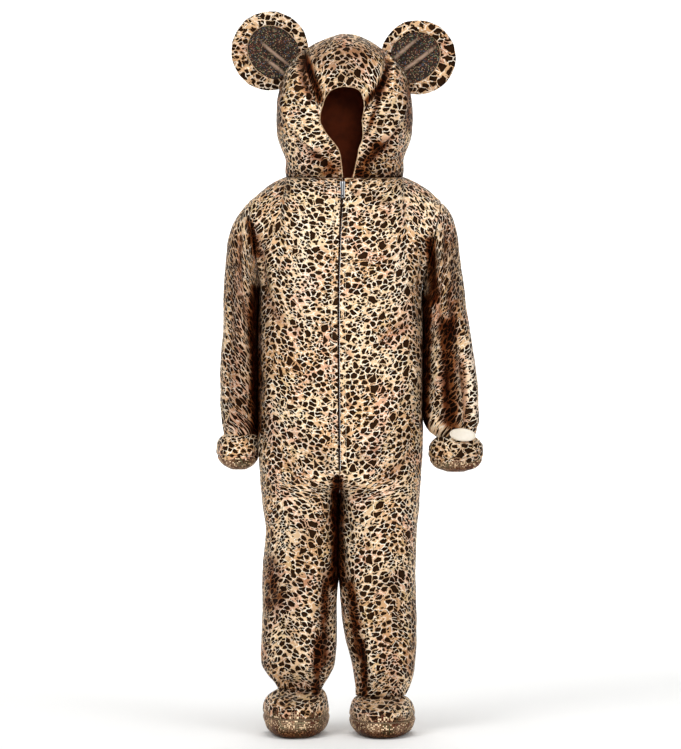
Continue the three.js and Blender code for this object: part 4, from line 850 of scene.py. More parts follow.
def ankle_level(side, z):
    """The right leg is a little longer than the left."""
    if side == LEFT:
        return z
    stretch = (ANKLE_START_Z - RIGHT_ANKLE_END_Z) / (ANKLE_START_Z - ANKLE_END_Z)
    return np.where(z > ANKLE_START_Z, z, ANKLE_START_Z + (z - ANKLE_START_Z) * stretch)


def yoke_point(side, face, u, v):
    """The upper body, from the neckline and shoulder seam (v = 0) to the chest ring (v = 1)."""
    side_angle = NECK_SIDE_ANGLE if face == FRONT else math.pi - NECK_SIDE_ANGLE
    neck_angle = np.minimum(u / NECKLINE_SHARE, 1) * side_angle
    top = neck_point(side, neck_angle if face == FRONT else math.pi - neck_angle)
    past = np.maximum((u - NECKLINE_SHARE) / (1 - NECKLINE_SHARE), 0)
    top = mix(top, np.array(SHOULDER[side], float), past[..., None])
    top[..., 2] += 5 * np.sin(math.pi * past)
    chest = np.full_like(u, CHEST_Z)
    bottom = ring_point(side, face, u, chest)
    rise, forward = np.cos(v * math.pi / 2), np.sin(v * math.pi / 2)
    z = mix(bottom[..., 2], top[..., 2], rise)
    x = mix(bottom[..., 0], top[..., 0], rise)
    centre = ring_point(side, face, np.zeros_like(u), chest)[..., 0]
    towards_inner = sample(INNER, "z", "left", z) - mix(centre, NECK_X, rise)
    bulge = 28 * u ** 2 + 32 * u ** 10
    fullness = np.clip(np.sin(math.pi * v), 0, 1) ** (1 - 0.3 * u ** 8)
    y = mix(top[..., 1], bottom[..., 1], forward) + face * bulge * fullness
    return stack(x + towards_inner * (1 - u) ** 4, y, z)


def cloth_shades(points, depth, contact=0.0, foil=None):
    """What the print's material reads at each point: how deep it lies, its painted shade and painted light,
    and its foil.
    """
    # The strokes' painted shade and light are weaker on the back, and painted shade is added where the cloth
    # presses on its neighbour.
    strokes = shade_strokes(points[..., 0], points[..., 2]) * mix(1, 0.35, smooth(points[..., 1] / 30))
    shade = np.clip(strokes + contact, -0.6, 1)
    return {"fold": depth, "shade": shade, "foil": np.zeros_like(depth) if foil is None else foil}


YOKE_ROWS = 64
RING_ROWS = 236
BODY_COLUMNS = 64


def body_piece(side, face):
    u_line = np.linspace(0, 1, BODY_COLUMNS + 1)
    u_line = mix(u_line, 0.5 - 0.5 * np.cos(math.pi * u_line), 0.35)
    v, u = np.meshgrid(np.linspace(0, 1, YOKE_ROWS), u_line, indexing="ij")
    z_line = np.linspace(CHEST_Z, ANKLE_END_Z, RING_ROWS)[1:]
    z, lower_u = np.meshgrid(z_line, u_line, indexing="ij")
    points = np.concatenate([yoke_point(side, face, u, v), ring_point(side, face, lower_u, z)])
    u = np.concatenate([u, lower_u])
    in_yoke = np.arange(len(points)) < YOKE_ROWS - 1

    low = np.minimum(points[:, 0, 2], CHEST_Z / 2)
    away = stack((points[:, 0, 0] + points[:, -1, 0]) / 2, np.full_like(low, face * 4.0), low)[:, None]
    normals = normals_of(points, away)
    if side == LEFT:
        normals[:, 0, 0] = np.maximum(normals[:, 0, 0], 0)
    else:
        normals[:, 0, 0] = np.minimum(normals[:, 0, 0], 0)
    normals[~in_yoke, -1, 1] = 0
    normals[-1, :, 2] = 0
    normals = unit(normals)

    level = points[..., 2]
    own = [fold for fold in BODY_FOLDS if fold["side"] == side and fold["face"] == face]
    spans = [((f["u0"] * GIRTH_STEP, f["z0"]), (f["u1"] * GIRTH_STEP, f["z1"]), f["width"], f["depth"])
             for f in own]
    folds = flat_folds(spans, u * GIRTH_STEP, level) * np.sin(math.pi * np.clip(u, 0, 1)) ** 0.5
    top_fade = smooth((NECK_Z_FRONT - level) / 40)
    depth = folds * top_fade + relief(points, normals, 1) * smooth((NECK_Z_FRONT + 6 - level) / 24)

    if face == FRONT:
        turn = (-side * (0.5 - u) / 2) % 1
    else:
        turn = (-side * (0.25 + u / 2)) % 1
    ankle = ankle_level(side, np.array(float(ANKLE_END_Z)))
    depth += elastic(f"ankle_{side_name(side)}", turn, level - ankle)

    across = lengths(points, 1)
    seam = seam_groove(across[:, -1:] - across)
    centre_seam = seam_groove(across) * smooth((CHAIN_BOTTOM_Z - level) / 8)
    stitched = -0.7 * bell((across - STITCH_DISTANCE) / 1.6) * smooth((level - CHAIN_BOTTOM_Z) / 6 + 1)
    down = lengths(points, 0)
    neck_seam = seam_groove(down) * (u < NECKLINE_SHARE + 0.02)
    shoulder_seam = seam_groove(down) * (u >= NECKLINE_SHARE + 0.02)
    depth += seam + centre_seam + stitched + neck_seam * 0.2 + shoulder_seam
    leg_plane, legs = leg_contact(level)
    arm_plane, arms = arm_contact(side, level)
    leg_side, arm_side = smooth((0.34 - u) / 0.1), smooth((u - 0.7) / 0.1)
    thin = smooth((30 - np.abs(points[..., 1])) / 12)
    leg_share = np.maximum(thin, smooth((0.12 - u) / 0.1)) * legs * leg_side
    depth *= 1 - np.maximum(leg_share, thin * arms * arm_side)
    moved = points + normals * depth[..., None]
    moved, leg_flat = press(moved, leg_plane, side, legs, leg_side)
    moved, arm_flat = press(moved, arm_plane, -side, arms, arm_side)

    gap = mix(SEAM / 2, ZIP_GAP / 2, smooth((level[:, 0] - CHAIN_BOTTOM_Z) / 4 + 1))
    gap = gap - (SEAM / 2 + FRONT_LAP) * legs[:, 0] * smooth((level[:, 0] - FRONT_LAP_END_Z) / 6)
    lapped = mix(SEAM / 2, BACK_SEAM_SHIFT[side], smooth((level[:, 0] - BACK_LAP_END_Z) / 8))
    moved = move_edge(moved, "first", gap if face == FRONT else lapped)
    moved = move_edge(moved, "last", SEAM / 2)
    moved = move_edge(move_edge(moved, "top", -0.15 if face == FRONT else -0.3), "bottom", SEAM / 2)
    name = f"{'front' if face == FRONT else 'back'}_{side_name(side)}"
    uv = metric_uv(points, (side * 0.31 + 0.7, face * 0.53 + 1.1), own=0.5)
    # The pressed share also gives painted shade where the piece lies against the other leg or a sleeve.
    shades = cloth_shades(points, depth, np.maximum(leg_flat, arm_flat))
    mesh = grid_mesh(f"{name}_cloth", moved, normals, CLOTH, uv, shades)
    piece = add_piece(f"{name}_cloth", mesh, LEOPARD, [name])
    return moved, normals, across


# Sleeves

SLEEVE_ROWS = 168
SLEEVE_COLUMNS = 104
SLEEVE_LAST_ROW = 11


def sleeve_point(side, t, row):
    """t is the turn round a sleeve: 0 at the top, 0.25 at the front, 0.5 under the arm."""
    rows = SLEEVE_LEFT if side == LEFT else SLEEVE_RIGHT
    inner_x, inner_z = sample(rows, "row", "innerX", row), sample(rows, "row", "innerZ", row)
    outer_x, outer_z = sample(rows, "row", "outerX", row), sample(rows, "row", "outerZ", row)
    front, back = sample(rows, "row", "front", row), sample(rows, "row", "back", row)
    v = np.where(t < 0.5, t * 2, 2 - t * 2)
    blend = smooth(row / 4)
    towards_outer = mix(np.cos(v * math.pi / 2), (1 + np.cos(math.pi * v)) / 2, blend)
    fullness = np.clip(np.sin(math.pi * v), 0, 1) ** mix(0.7, 0.92, blend)
    shoulder_y = SHOULDER[side][1] * (1 - blend) * np.cos(v * math.pi / 2)
    y = shoulder_y + np.where(t < 0.5, -front, back) * fullness
    return stack(mix(inner_x, outer_x, towards_outer), y, mix(inner_z, outer_z, towards_outer))


def armhole_point(side, t):
    v = np.where(t < 0.5, t * 2, 2 - t * 2)
    edge = np.ones_like(t)
    ahead, behind = yoke_point(side, FRONT, edge, v), yoke_point(side, BACK, edge, v)
    return np.where((t < 0.5)[..., None], ahead, behind)


def wrist_turn(side, t):
    return (t - 0.25) % 1 if side == LEFT else (0.25 - t) % 1


def sleeve_piece(side):
    t_line = (0.5 + np.arange(SLEEVE_COLUMNS) / SLEEVE_COLUMNS) % 1
    row, t = np.meshgrid(np.linspace(0, SLEEVE_LAST_ROW, SLEEVE_ROWS), t_line, indexing="ij")
    points = sleeve_point(side, t, row)
    first = armhole_point(side, t) - sleeve_point(side, t, np.zeros_like(row))
    points += first * (1 - smooth(row))[..., None]
    normals = normals_of(points, row_middles(points), wrap=True)
    tip = SHOULDER[side]
    under = ring_point(side, FRONT, np.array(1.0), np.array(float(CHEST_Z)))
    up = unit(np.array([tip[0] - under[0], 0, tip[2] - under[2]]))
    axis = np.array([side * up[2], 0, -side * up[0]])
    normals[0] -= (normals[0] @ axis)[:, None] * axis
    normals[-1, :, 2] = 0
    normals = unit(normals)

    own = [fold for fold in SLEEVE_FOLDS if fold["side"] == side]
    spans = [((f["t0"] * SLEEVE_GIRTH, f["row0"] * SLEEVE_ROW_STEP),
              (f["t1"] * SLEEVE_GIRTH, f["row1"] * SLEEVE_ROW_STEP), f["width"], f["depth"])
             for f in own]
    folds = flat_folds(spans, t * SLEEVE_GIRTH, row * SLEEVE_ROW_STEP)
    down = lengths(points, 0)
    depth = folds * smooth(row / 1.5) + relief(points, normals, 2) * smooth(row / 0.8)
    depth += elastic(f"wrist_{side_name(side)}", wrist_turn(side, t), down[-1:] - down)
    depth += seam_groove(down)
    depth = np.minimum(depth, mix(3, 1.2, bell((t - 0.5) / 0.1)))
    arm_plane, arms = arm_contact(side, points[..., 2])
    inner = smooth((0.22 - np.abs(t - 0.5)) / 0.08)
    depth *= 1 - smooth((30 - np.abs(points[..., 1])) / 12) * arms * inner
    moved = points + normals * depth[..., None]
    moved, flat = press(moved, arm_plane, side, arms, inner)
    moved[0] += axis * SEAM / 2
    moved = move_edge(moved, "bottom", -0.1)
    name = f"sleeve_{side_name(side)}"
    uv = metric_uv(points, (side * 0.43 + 3.2, 2.4), wrap=True, own=0.5)
    # The pressed share also gives painted shade where the sleeve lies against the body.
    shades = cloth_shades(points, depth, flat)
    mesh = grid_mesh(f"{name}_cloth", moved, normals, CLOTH, uv, shades, wrap=True)
    piece = add_piece(f"{name}_cloth", mesh, LEOPARD, [name])


# Mitts and foot covers

POUCH_COLUMNS = 96
UPPER_ROWS = 30
LOWER_ROWS = 26
CLOSING_ROWS = 12
SEAM_ROW = UPPER_ROWS - 1


def numbered(rows):
    return [dict(row, row=index) for index, row in enumerate(rows)]


def signed_power(value, power):
    return np.sign(value) * np.abs(value) ** power


def mitt_ring(side, row, angle):
    rows = numbered(MITT_LEFT if side == LEFT else MITT_RIGHT)
    left, right = sample(rows, "row", "left", row), sample(rows, "row", "right", row)
    reach = np.where(np.cos(angle) > 0, sample(rows, "row", "front", row), sample(rows, "row", "back", row))
    x = (left + right) / 2 + (right - left) / 2 * signed_power(np.sin(angle), 0.92)
    return stack(x, -reach * signed_power(np.cos(angle), 0.92), sample(rows, "row", "z", row))


def foot_ring(side, row, angle):
    rows = numbered(FOOT)
    ankle = ANKLE_END_Z if side == LEFT else RIGHT_ANKLE_END_Z
    drop, height = ANKLE_END_Z - RIGHT_ANKLE_END_Z, -FOOT[-1]["z"]
    scale = (height + drop / 2) / height if side == LEFT else (height - drop / 2) / height
    centre = mix(FOOT_ANKLE_X[side], FOOT_X[side], smooth(row / 3))
    ahead = np.cos(angle) > 0
    reach = np.where(ahead, sample(rows, "row", "toe", row), sample(rows, "row", "heel", row))
    across = signed_power(np.sin(angle), np.where(ahead, 0.85, 0.95))
    x = centre + sample(rows, "row", "half", row) * across
    return stack(x, -reach * np.cos(angle), ankle + sample(rows, "row", "z", row) * scale)


def pouch(side, name, rings, last_row, seam_row, elastic_name, cuts, zigzag):
    """A closed pouch below a gathered ring, sewn from an upper part and a tip or sole."""
    angle_line = math.pi + np.arange(POUCH_COLUMNS) / POUCH_COLUMNS * 2 * math.pi
    upper, lower = np.linspace(0, seam_row, UPPER_ROWS), np.linspace(seam_row, last_row, LOWER_ROWS)
    row_line = np.concatenate([upper, lower[1:]])
    row, angle = np.meshgrid(row_line, angle_line, indexing="ij")
    points = rings(side, row, angle)
    middle = points[-1].mean(axis=0)
    shares = np.linspace(0, 1, CLOSING_ROWS)[1:]
    points = np.concatenate([points, mix(points[-1], middle, shares[:, None, None])])
    middle_row = 24
    normals = normals_of(points, np.array([middle[0], 0, points[middle_row, :, 2].mean()]), wrap=True)
    last_ring = len(row_line) - 1
    down_turns = 4
    below = np.array([0, 0, -1.0])
    normals[last_ring + down_turns:] = below
    for index in range(down_turns):
        towards = (index + 1) / (down_turns + 1)
        normals[last_ring + index] = unit(mix(normals[last_ring + index], below, towards))
    for index in (0, SEAM_ROW):
        normals[index, :, 2] = 0
    normals = unit(normals)

    turn = (angle_line / (2 * math.pi)) % 1
    turn = np.broadcast_to(turn, points.shape[:2])
    down = lengths(points, 0)
    under = smooth((points[..., 2] - points[..., 2].min()) / 6)
    depth = elastic(elastic_name, turn, down) + relief(points, normals, 3) * under
    past_seam = down - down[SEAM_ROW:SEAM_ROW + 1]
    depth += seam_groove(np.abs(past_seam))
    depth *= np.where(np.arange(len(points)) < last_ring, 1, 0)[:, None]
    moved = points + normals * depth[..., None]
    if cuts == "mitt":
        arm_plane, arms = arm_contact(side, points[..., 2])
        near = smooth((np.sin(angle_line) * -side - 0.3) / 0.3) * np.ones_like(depth)
        moved, _ = press(moved, arm_plane, side, arms, near)

    past_edge = past_seam - zigzag["below"]
    wave = np.abs((turn * zigzag["count"]) % 1 - 0.5) * 2
    foil = np.maximum(smooth((past_edge + 2) / 3), smooth((past_edge + zigzag["height"] * wave) / 2 + 0.5))
    foil = np.where(moved[..., 2] > points[0, :, 2].mean() - 8, 0, foil)
    uv = metric_uv(points, zigzag["offset"], wrap=True)
    if cuts == "foot":
        seam_uv = uv[SEAM_ROW]
        uv[:UPPER_ROWS] = seam_uv + (uv[:UPPER_ROWS] - seam_uv) * np.array([1, FOOT_PRINT_LENGTH])
        uv[:UPPER_ROWS, :, 0] *= FOOT_PRINT_WIDTH
    for part, first, last, edge, cloth, slot in (
        ("", 0, SEAM_ROW, "bottom", LEOPARD, "leopard_cloth"),
        (zigzag["lower"], SEAM_ROW, len(points) - 1, "top", FOIL, "foil_cloth"),
    ):
        rows = slice(first, last + 1)
        shades = cloth_shades(points[rows], depth[rows], foil=foil[rows])
        part_points = move_edge(moved[rows], edge, SEAM / 2)
        part_name = f"{name}{part}_cloth"
        mesh = grid_mesh(part_name, part_points, normals[rows], CLOTH, uv[rows], shades, wrap=True)
        piece = add_piece(part_name, mesh, cloth, [f"{name}{part}"])


# Hood

HOOD_COLUMNS = 56
HOOD_ROW_LINE = np.concatenate([np.linspace(0, 1, 20), np.linspace(1, 11, 128)[1:]])


def hood_point(a, row):
    """a is the way round an arch: -1 at its left foot, 0 at the crown, 1 at its right foot."""
    points = hood_arch(a, row)
    edge = hood_arch(a, np.zeros_like(row, float))
    left = sample(FACE_EDGE, "z", "left", edge[..., 2])
    right = sample(FACE_EDGE, "z", "right", edge[..., 2])
    points[..., 0] += (np.where(a < 0, left, right) - edge[..., 0]) * (1 - smooth(row / 1.6))
    return points


def hood_arch(a, row):
    base_y = sample(HOOD, "row", "baseY", row)
    reach = np.where(base_y < 0, NECK_FRONT, NECK_BACK)
    edge = np.maximum(1 - row, 0)
    neck_half = NECK_HALF * np.sqrt(np.maximum(1 - (base_y / reach) ** 2, 0))
    base_half = mix(neck_half, FACE_FOOT_HALF, edge)
    half = np.maximum(sample(HOOD, "row", "half", row), base_half + 0.1)
    foot_angle = math.pi - np.arcsin(base_half / half)
    angle = a * foot_angle
    rise = np.clip((np.cos(angle) - np.cos(foot_angle)) / (1 - np.cos(foot_angle)), 0, 1) ** HOOD_RISE
    z = mix(neck_height(base_y), sample(HOOD, "row", "apexZ", row), rise)
    pinch = 1 - 0.055 * bell((z - 60) / 20) * smooth(row / 3)
    lean = (FACE_FOOT_X - NECK_X) * edge * (1 - smooth(rise / 0.6))
    x = NECK_X + lean + half * np.sin(angle) * mix(1, pinch, smooth(rise / 0.15))
    return stack(x, mix(base_y, sample(HOOD, "row", "apexY", row), rise ** 0.9), z)


def hood_turns(row_line, columns):
    """The way round the arch at each column. The panel seams fall on whole columns."""
    seam = sample(HOOD, "row", "seam", row_line)[:, None]
    share = np.linspace(0, 1, columns + 1)[None]
    left, centre = mix(-1, -seam, share), mix(-seam, seam, share)
    return np.concatenate([left, centre[:, 1:], -left[:, ::-1][:, 1:]], axis=1)


def hood_grid(row_line, columns, creased):
    a = hood_turns(row_line, columns)
    row = np.broadcast_to(row_line[:, None], a.shape)
    points = hood_point(a, row)
    normals = normals_of(points, HOOD_MIDDLE)
    for index in ((slice(None), 0), (slice(None), -1), (-1, slice(None))):
        edge = normals[index]
        normals[index] = unit(edge - (edge @ NECK_PLANE)[:, None] * NECK_PLANE)
    if not creased:
        return points, normals, np.zeros_like(a)
    fade = smooth((points[..., 2] - NECK_Z_BACK) / 25)
    spans = [((f["a0"] * HOOD_GIRTH, f["row0"] * HOOD_ROW_STEP),
              (f["a1"] * HOOD_GIRTH, f["row1"] * HOOD_ROW_STEP), f["width"], f["depth"]) for f in HOOD_FOLDS]
    folds = flat_folds(spans, a * HOOD_GIRTH, row * HOOD_ROW_STEP)
    down = lengths(points, 0)
    depth = folds * fade + relief(points, normals, 4) * smooth((points[..., 2] - NECK_Z_BACK) / 12)
    depth += gathers("face", (a + 1) / 2, down) * fade
    depth = np.maximum(depth, -10)
    across = lengths(points, 1)
    for index in (columns, 2 * columns):
        depth += seam_groove(np.abs(across - across[:, index:index + 1])) * smooth(row / 0.5)
    ends = np.minimum(across, across[:, -1:] - across)
    depth += seam_groove(np.minimum(ends, down[-1:] - down)) * 0.15
    return points, normals, depth


def side_uv(points, side):
    """The hood's side is nearly a ball, so its cloth is measured out from the middle of the cheek."""
    facing = unit(points - HOOD_MIDDLE)
    polar = np.arccos(np.clip(facing[..., 0] * side, -1, 1))
    turn = np.arctan2(facing[..., 2], facing[..., 1])
    return np.stack([polar * np.cos(turn), polar * np.sin(turn)], axis=-1) * HOOD_BALL * MM


def hood_panels():
    n = HOOD_COLUMNS
    points, normals, depth = hood_grid(HOOD_ROW_LINE, n, True)
    moved = points + normals * depth[..., None] + np.array([0, 0, SEAM])
    uv = metric_uv(points, (5.3, 1.7), own=1)
    panels = (
        ("hood_left", 0, n, ("last",), "hood_side", (0.4, 0)),
        ("hood_centre", n, 2 * n, ("first", "last"), "hood_centre", (0, 0.6)),
        ("hood_right", 2 * n, 3 * n, ("first",), "hood_side", (-0.3, 0.2)),
    )
    for name, first, last, edges, cut, offset in panels:
        part = moved[:, first:last + 1]
        for edge in edges:
            part = move_edge(part, edge, SEAM / 2)
        part_uv = uv[:, first:last + 1] + np.array(offset)
        if cut == "hood_side":
            side = LEFT if name == "hood_left" else RIGHT
            part_uv = side_uv(points[:, first:last + 1], side) + np.array(offset)
        shades = cloth_shades(points[:, first:last + 1], depth[:, first:last + 1])
        mesh = grid_mesh(f"{name}_cloth", part, normals[:, first:last + 1], CLOTH, part_uv, shades)
        piece = add_piece(f"{name}_cloth", mesh, LEOPARD, [name])
    return moved[0], normals[0]


def face_hem(edge, normals):
    """The narrow rolled hem along the face opening, which the elastic gathers."""
    step = unit(np.gradient(edge, axis=0))
    outward = unit(np.cross(step, normals))
    path = edge - normals * 0.9
    radius = 1.0 + 0.22 * np.sin(np.arange(len(edge)) * 1.9)
    angles = np.arange(10) / 10 * 2 * math.pi
    rings = (path[:, None]
             + radius[:, None, None] * np.cos(angles)[None, :, None] * normals[:, None]
             + radius[:, None, None] * np.sin(angles)[None, :, None] * outward[:, None])
    add_piece("face_hem", tube_mesh("face_hem", rings), PALE_CLOTH)


def hood_lining():
    row_line = np.linspace(0, 11, 90)
    points, normals, _ = hood_grid(row_line, 30, False)
    inward = smooth(row_line / 1.5)[:, None]
    inset = mix(LINING_EDGE_INSET, LINING_INSET, inward)
    inset = inset - (0.8 * ripple(points, 46, 15) + 0.4 * ripple(points, 17, 16)) * inward
    moved = points - normals * inset[..., None] + np.array([0, 0, SEAM])
    moved[..., 2] -= LINING_BACK_DROP * smooth(row_line - 10)[:, None]
    mesh = grid_mesh("hood_lining_cloth", moved, normals, LINING_CLOTH, metric_uv(points, (0, 0)))
    piece = add_piece("hood_lining_cloth", mesh, LINING, ["hood_lining"])


def points_mesh(name, points, faces):
    """A settled mesh from points in millimetres."""
    mesh = bpy.data.meshes.new(name)
    mesh.from_pydata((points.reshape(-1, 3) * MM).tolist(), [], faces)
    return settled(mesh)


def tube_mesh(name, rings, closed=False):
    """A tube through rings of points. It has flat ends, or closes on itself."""
    count, sides = rings.shape[:2]
    r, c = np.meshgrid(np.arange(count if closed else count - 1), np.arange(sides), indexing="ij")
    following, beside = (r + 1) % count, (c + 1) % sides
    corners = [r * sides + c, r * sides + beside, following * sides + beside, following * sides + c]
    faces = np.stack(corners, axis=-1).reshape(-1, 4).tolist()
    if not closed:
        faces.append(list(range(sides))[::-1])
        faces.append([(count - 1) * sides + index for index in range(sides)])
    return points_mesh(name, rings, faces)


def hood_space():
    """The space that the hood takes up, a seam larger all round, which the ears' bases are cut to."""
    row_line = np.linspace(0, 11, 60)
    points, normals, _ = hood_grid(row_line, 20, False)
    grown = points + normals * (SEAM + 0.6) + np.array([0, 0, SEAM])
    rows, columns = grown.shape[:2]
    r, c = np.meshgrid(np.arange(rows - 1), np.arange(columns - 1), indexing="ij")
    a = r * columns + c
    faces = np.stack([a, a + 1, a + columns + 1, a + columns], axis=-1).reshape(-1, 4).tolist()
    rim = list(range(columns))
    rim += [(row + 1) * columns - 1 for row in range(1, rows)]
    rim += [(rows - 1) * columns + column for column in range(columns - 2, -1, -1)]
    rim += [row * columns for row in range(rows - 2, 0, -1)]
    middle = rows * columns
    faces += [[rim[(index + 1) % len(rim)], start, middle] for index, start in enumerate(rim)]
    vertices = np.concatenate([grown.reshape(-1, 3), HOOD_MIDDLE[None]])
    space = bpy.data.objects.new("hood_space", points_mesh("hood_space", vertices, faces))
    bpy.context.collection.objects.link(space)
    return space


# Ears

EAR_COLUMNS = 120


def turn_from(angle, place):
    return np.arctan2(np.sin(angle - place), np.cos(angle - place))


def ear_outline(ear, angle, drawn):
    x = ear["x"] + (ear["radius_x"] - drawn) * np.cos(angle)
    return x, ear["z"] + (ear["radius_z"] - drawn) * np.sin(angle)


def panel_outline(ear, angle):
    reach = 1 + 0.3 * bell(turn_from(angle, ear["base"]) / 0.5) + 0.09 * np.cos(2 * (angle - ear["base"]))
    x = ear["panel_x"] + ear["panel_radius_x"] * reach * np.cos(angle)
    return x, ear["panel_z"] + ear["panel_radius_z"] * reach * np.sin(angle)


def ear_edge(ear, angle, face, shares):
    """The rounded edge of an ear, from the seam round its rim to its flat face."""
    turns = shares[:, None] * math.pi / 2
    x, z = ear_outline(ear, angle[None], EAR_EDGE_ROUND * (1 - np.cos(turns)))
    y = ear["y"] + face * (SEAM / 2 + EAR_HALF_THICK * np.sin(turns))
    return stack(x, y, z)


def ear_puckers(angle, count, seed):
    random = np.random.default_rng(seed)
    total = np.zeros_like(angle)
    for index in range(count):
        place = (index + random.uniform(-0.3, 0.3)) / count * 2 * math.pi
        total -= random.uniform(0.3, 1.0) * bell(turn_from(angle, place) / (1.6 / count))
    return total


def ear_pieces(name, space):
    ear = EARS[name]
    angle = np.arange(EAR_COLUMNS) / EAR_COLUMNS * 2 * math.pi
    middle = np.array([ear["x"], ear["y"], ear["z"]])
    edge_shares = np.linspace(0, 1, 12)
    face_y = ear["y"] - SEAM / 2 - EAR_HALF_THICK
    seed = 41 if name == "left" else 57

    behind = ear_edge(ear, angle, BACK, edge_shares)
    shares = np.linspace(0, 1, 22)[1:, None]
    rim_x, rim_z = ear_outline(ear, angle[None], EAR_EDGE_ROUND)
    crown = ear["y"] + SEAM / 2 + EAR_HALF_THICK + 2 * np.sin(shares * math.pi / 2)
    back_face = stack(mix(rim_x, ear["x"], shares), crown, mix(rim_z, ear["z"], shares))
    back_points = np.concatenate([behind, back_face])
    back_normals = normals_of(back_points, middle, wrap=True)
    back_normals[0, :, 1] = 0
    back_normals[-6:] = np.array([0, 1, 0])

    before = ear_edge(ear, angle, FRONT, edge_shares)
    panel_x, panel_z = panel_outline(ear, angle)
    panel_rim = stack(panel_x, np.full_like(angle, face_y + 0.6), panel_z)
    inner_edge = panel_rim + unit(before[-1] - panel_rim) * SEAM
    face_middle = np.array([ear["panel_x"], face_y + 0.6, ear["panel_z"]])
    narrow = mix(before[-1], face_middle, RIM_LEAST_SHARE)
    panel_reach = np.linalg.norm(panel_rim - face_middle, axis=-1, keepdims=True) + SEAM
    inner_edge = np.where(panel_reach > np.linalg.norm(narrow - face_middle, axis=-1, keepdims=True),
                          narrow, inner_edge)
    shares = np.linspace(0, 1, 16)[1:, None, None]
    crown = np.sin(shares * math.pi) * np.array([0, -1.4, 0])
    rim_points = np.concatenate([before, mix(before[-1], inner_edge, shares) + crown])
    rim_normals = normals_of(rim_points, middle, wrap=True)
    rim_normals[0, :, 1] = 0
    rim_normals[-1] = np.array([0, -1, 0])

    shares = np.linspace(0, 1, 34)[:, None]
    flat_x, flat_z = mix(panel_x, ear["panel_x"], shares), mix(panel_z, ear["panel_z"], shares)
    ridges = creases(EAR_RIDGES[name], flat_x, flat_z) * smooth(shares / 0.12)
    dish = EAR_DISH * np.sin(shares * math.pi / 2) - 3.4 * ridges
    dish = dish - ear_puckers(angle, 17, seed) * 0.5 * (1 - shares) ** 1.6 * smooth(shares / 0.1)
    panel_points = stack(mix(panel_x, ear["panel_x"], shares), face_y + 0.6 + dish,
                         mix(panel_z, ear["panel_z"], shares))
    panel_normals = np.broadcast_to(np.array([0.0, -1.0, 0.0]), panel_points.shape).copy()

    sets = (
        ("back", back_points, back_normals, LEOPARD, "leopard_cloth", 0.5),
        ("rim", rim_points, rim_normals, LEOPARD, "leopard_cloth", 0.7),
        ("panel", panel_points, panel_normals, GLITTER, "glitter_cloth", 0.0),
    )
    for part, points, normals, cloth, slot, uneven in sets:
        normals = unit(normals)
        depth = uneven * (0.8 * ripple(points, 26, seed) + 0.5 * ripple(points, 11, seed + 1))
        if part != "panel":
            depth = depth + seam_groove(lengths(points, 0)) * 0.7
        if part == "rim":
            down = lengths(points, 0)
            depth = depth + ear_puckers(angle, 23, seed + 2) * bell((down[-1:] - down) / 7)
        moved = points + normals * depth[..., None]
        uv = planar_uv(points, ear, seed)
        node = f"ear_{name}_{part}"
        # The fold gives painted highlights along the panels' ridges and painted shade in the troughs of the
        # back and rim; each part also gets a painted shade of its own.
        fold = ridges * 3 if part == "panel" else depth * 2
        shades = {"fold": fold, "shade": np.full_like(depth, EAR_SHADE[part]), "foil": np.zeros_like(depth)}
        mesh = grid_mesh(f"{node}_cloth", moved, normals, CLOTH, uv, shades, wrap=True)
        piece = add_piece(f"{node}_cloth", mesh, cloth, [node])
        trim(piece, space)

    ring = stack(panel_x, np.full_like(angle, face_y - 0.5), panel_z)
    step = unit(np.roll(ring, -1, axis=0) - np.roll(ring, 1, axis=0))
    across = unit(np.cross(step, np.array([0.0, 1.0, 0.0])))
    sides = np.arange(8) / 8 * 2 * math.pi
    rings = (ring[:, None] + 0.5 * np.cos(sides)[None, :, None] * across[:, None]
             + 0.45 * np.sin(sides)[None, :, None] * np.array([0, 1, 0]))
    seam_name = f"ear_{name}_seam_line"
    trim(add_piece(seam_name, tube_mesh(seam_name, rings, closed=True), PALE_CLOTH), space)


def planar_uv(points, ear, seed):
    """The ears' faces are flat, so their cloth is measured straight across them."""
    points = np.concatenate([points, points[:, :1]], axis=1)
    u = (points[..., 0] - ear["x"]) * MM * EAR_PRINT_SCALE + seed * EAR_PRINT_STEP[0]
    v = (points[..., 2] - ear["z"]) * MM * EAR_PRINT_SCALE + seed * EAR_PRINT_STEP[1]
    return np.stack([u, v], axis=-1)


def trim(piece, space):
    cutter = piece.modifiers.new("trim", "BOOLEAN")
    cutter.operation = "DIFFERENCE"
    cutter.object = space
    cutter.solver = "EXACT"
    cutter.use_self = True
    shown = piece.evaluated_get(bpy.context.evaluated_depsgraph_get())
    mesh = bpy.data.meshes.new_from_object(shown)
    piece.modifiers.clear()
    piece.data = mesh


# Zip, stitches and patch


def capsules(name, starts, ends, radius, sides=6):
    """Short round-ended rods, such as stitches and coil teeth."""
    starts, ends = np.asarray(starts, float), np.asarray(ends, float)
    along = unit(ends - starts)
    helper = np.where(np.abs(along[:, 1:2]) < 0.9, np.array([[0.0, 1.0, 0.0]]), np.array([[1.0, 0.0, 0.0]]))
    across = unit(np.cross(along, helper))
    up = np.cross(across, along)
    angles = np.arange(sides) / sides * 2 * math.pi
    rings = []
    tips = ((starts, 0.45, -0.6), (starts, 1.0, 0.0), (ends, 1.0, 0.0), (ends, 0.45, 0.6))
    for place, size, shift in tips:
        centre = place + along * radius * shift
        wheel = across[:, None] * np.cos(angles)[None, :, None] + up[:, None] * np.sin(angles)[None, :, None]
        rings.append(centre[:, None] + wheel * radius * size)
    vertices = np.stack(rings, axis=1)
    faces = []
    for ring in range(3):
        for side in range(sides):
            following = (side + 1) % sides
            faces.append([ring * sides + side, ring * sides + following,
                          (ring + 1) * sides + following, (ring + 1) * sides + side])
    faces.append(list(range(sides))[::-1])
    faces.append([3 * sides + side for side in range(sides)])
    all_faces = [[index + rod * 4 * sides for index in face] for rod in range(len(starts)) for face in faces]
    return points_mesh(name, vertices, all_faces)


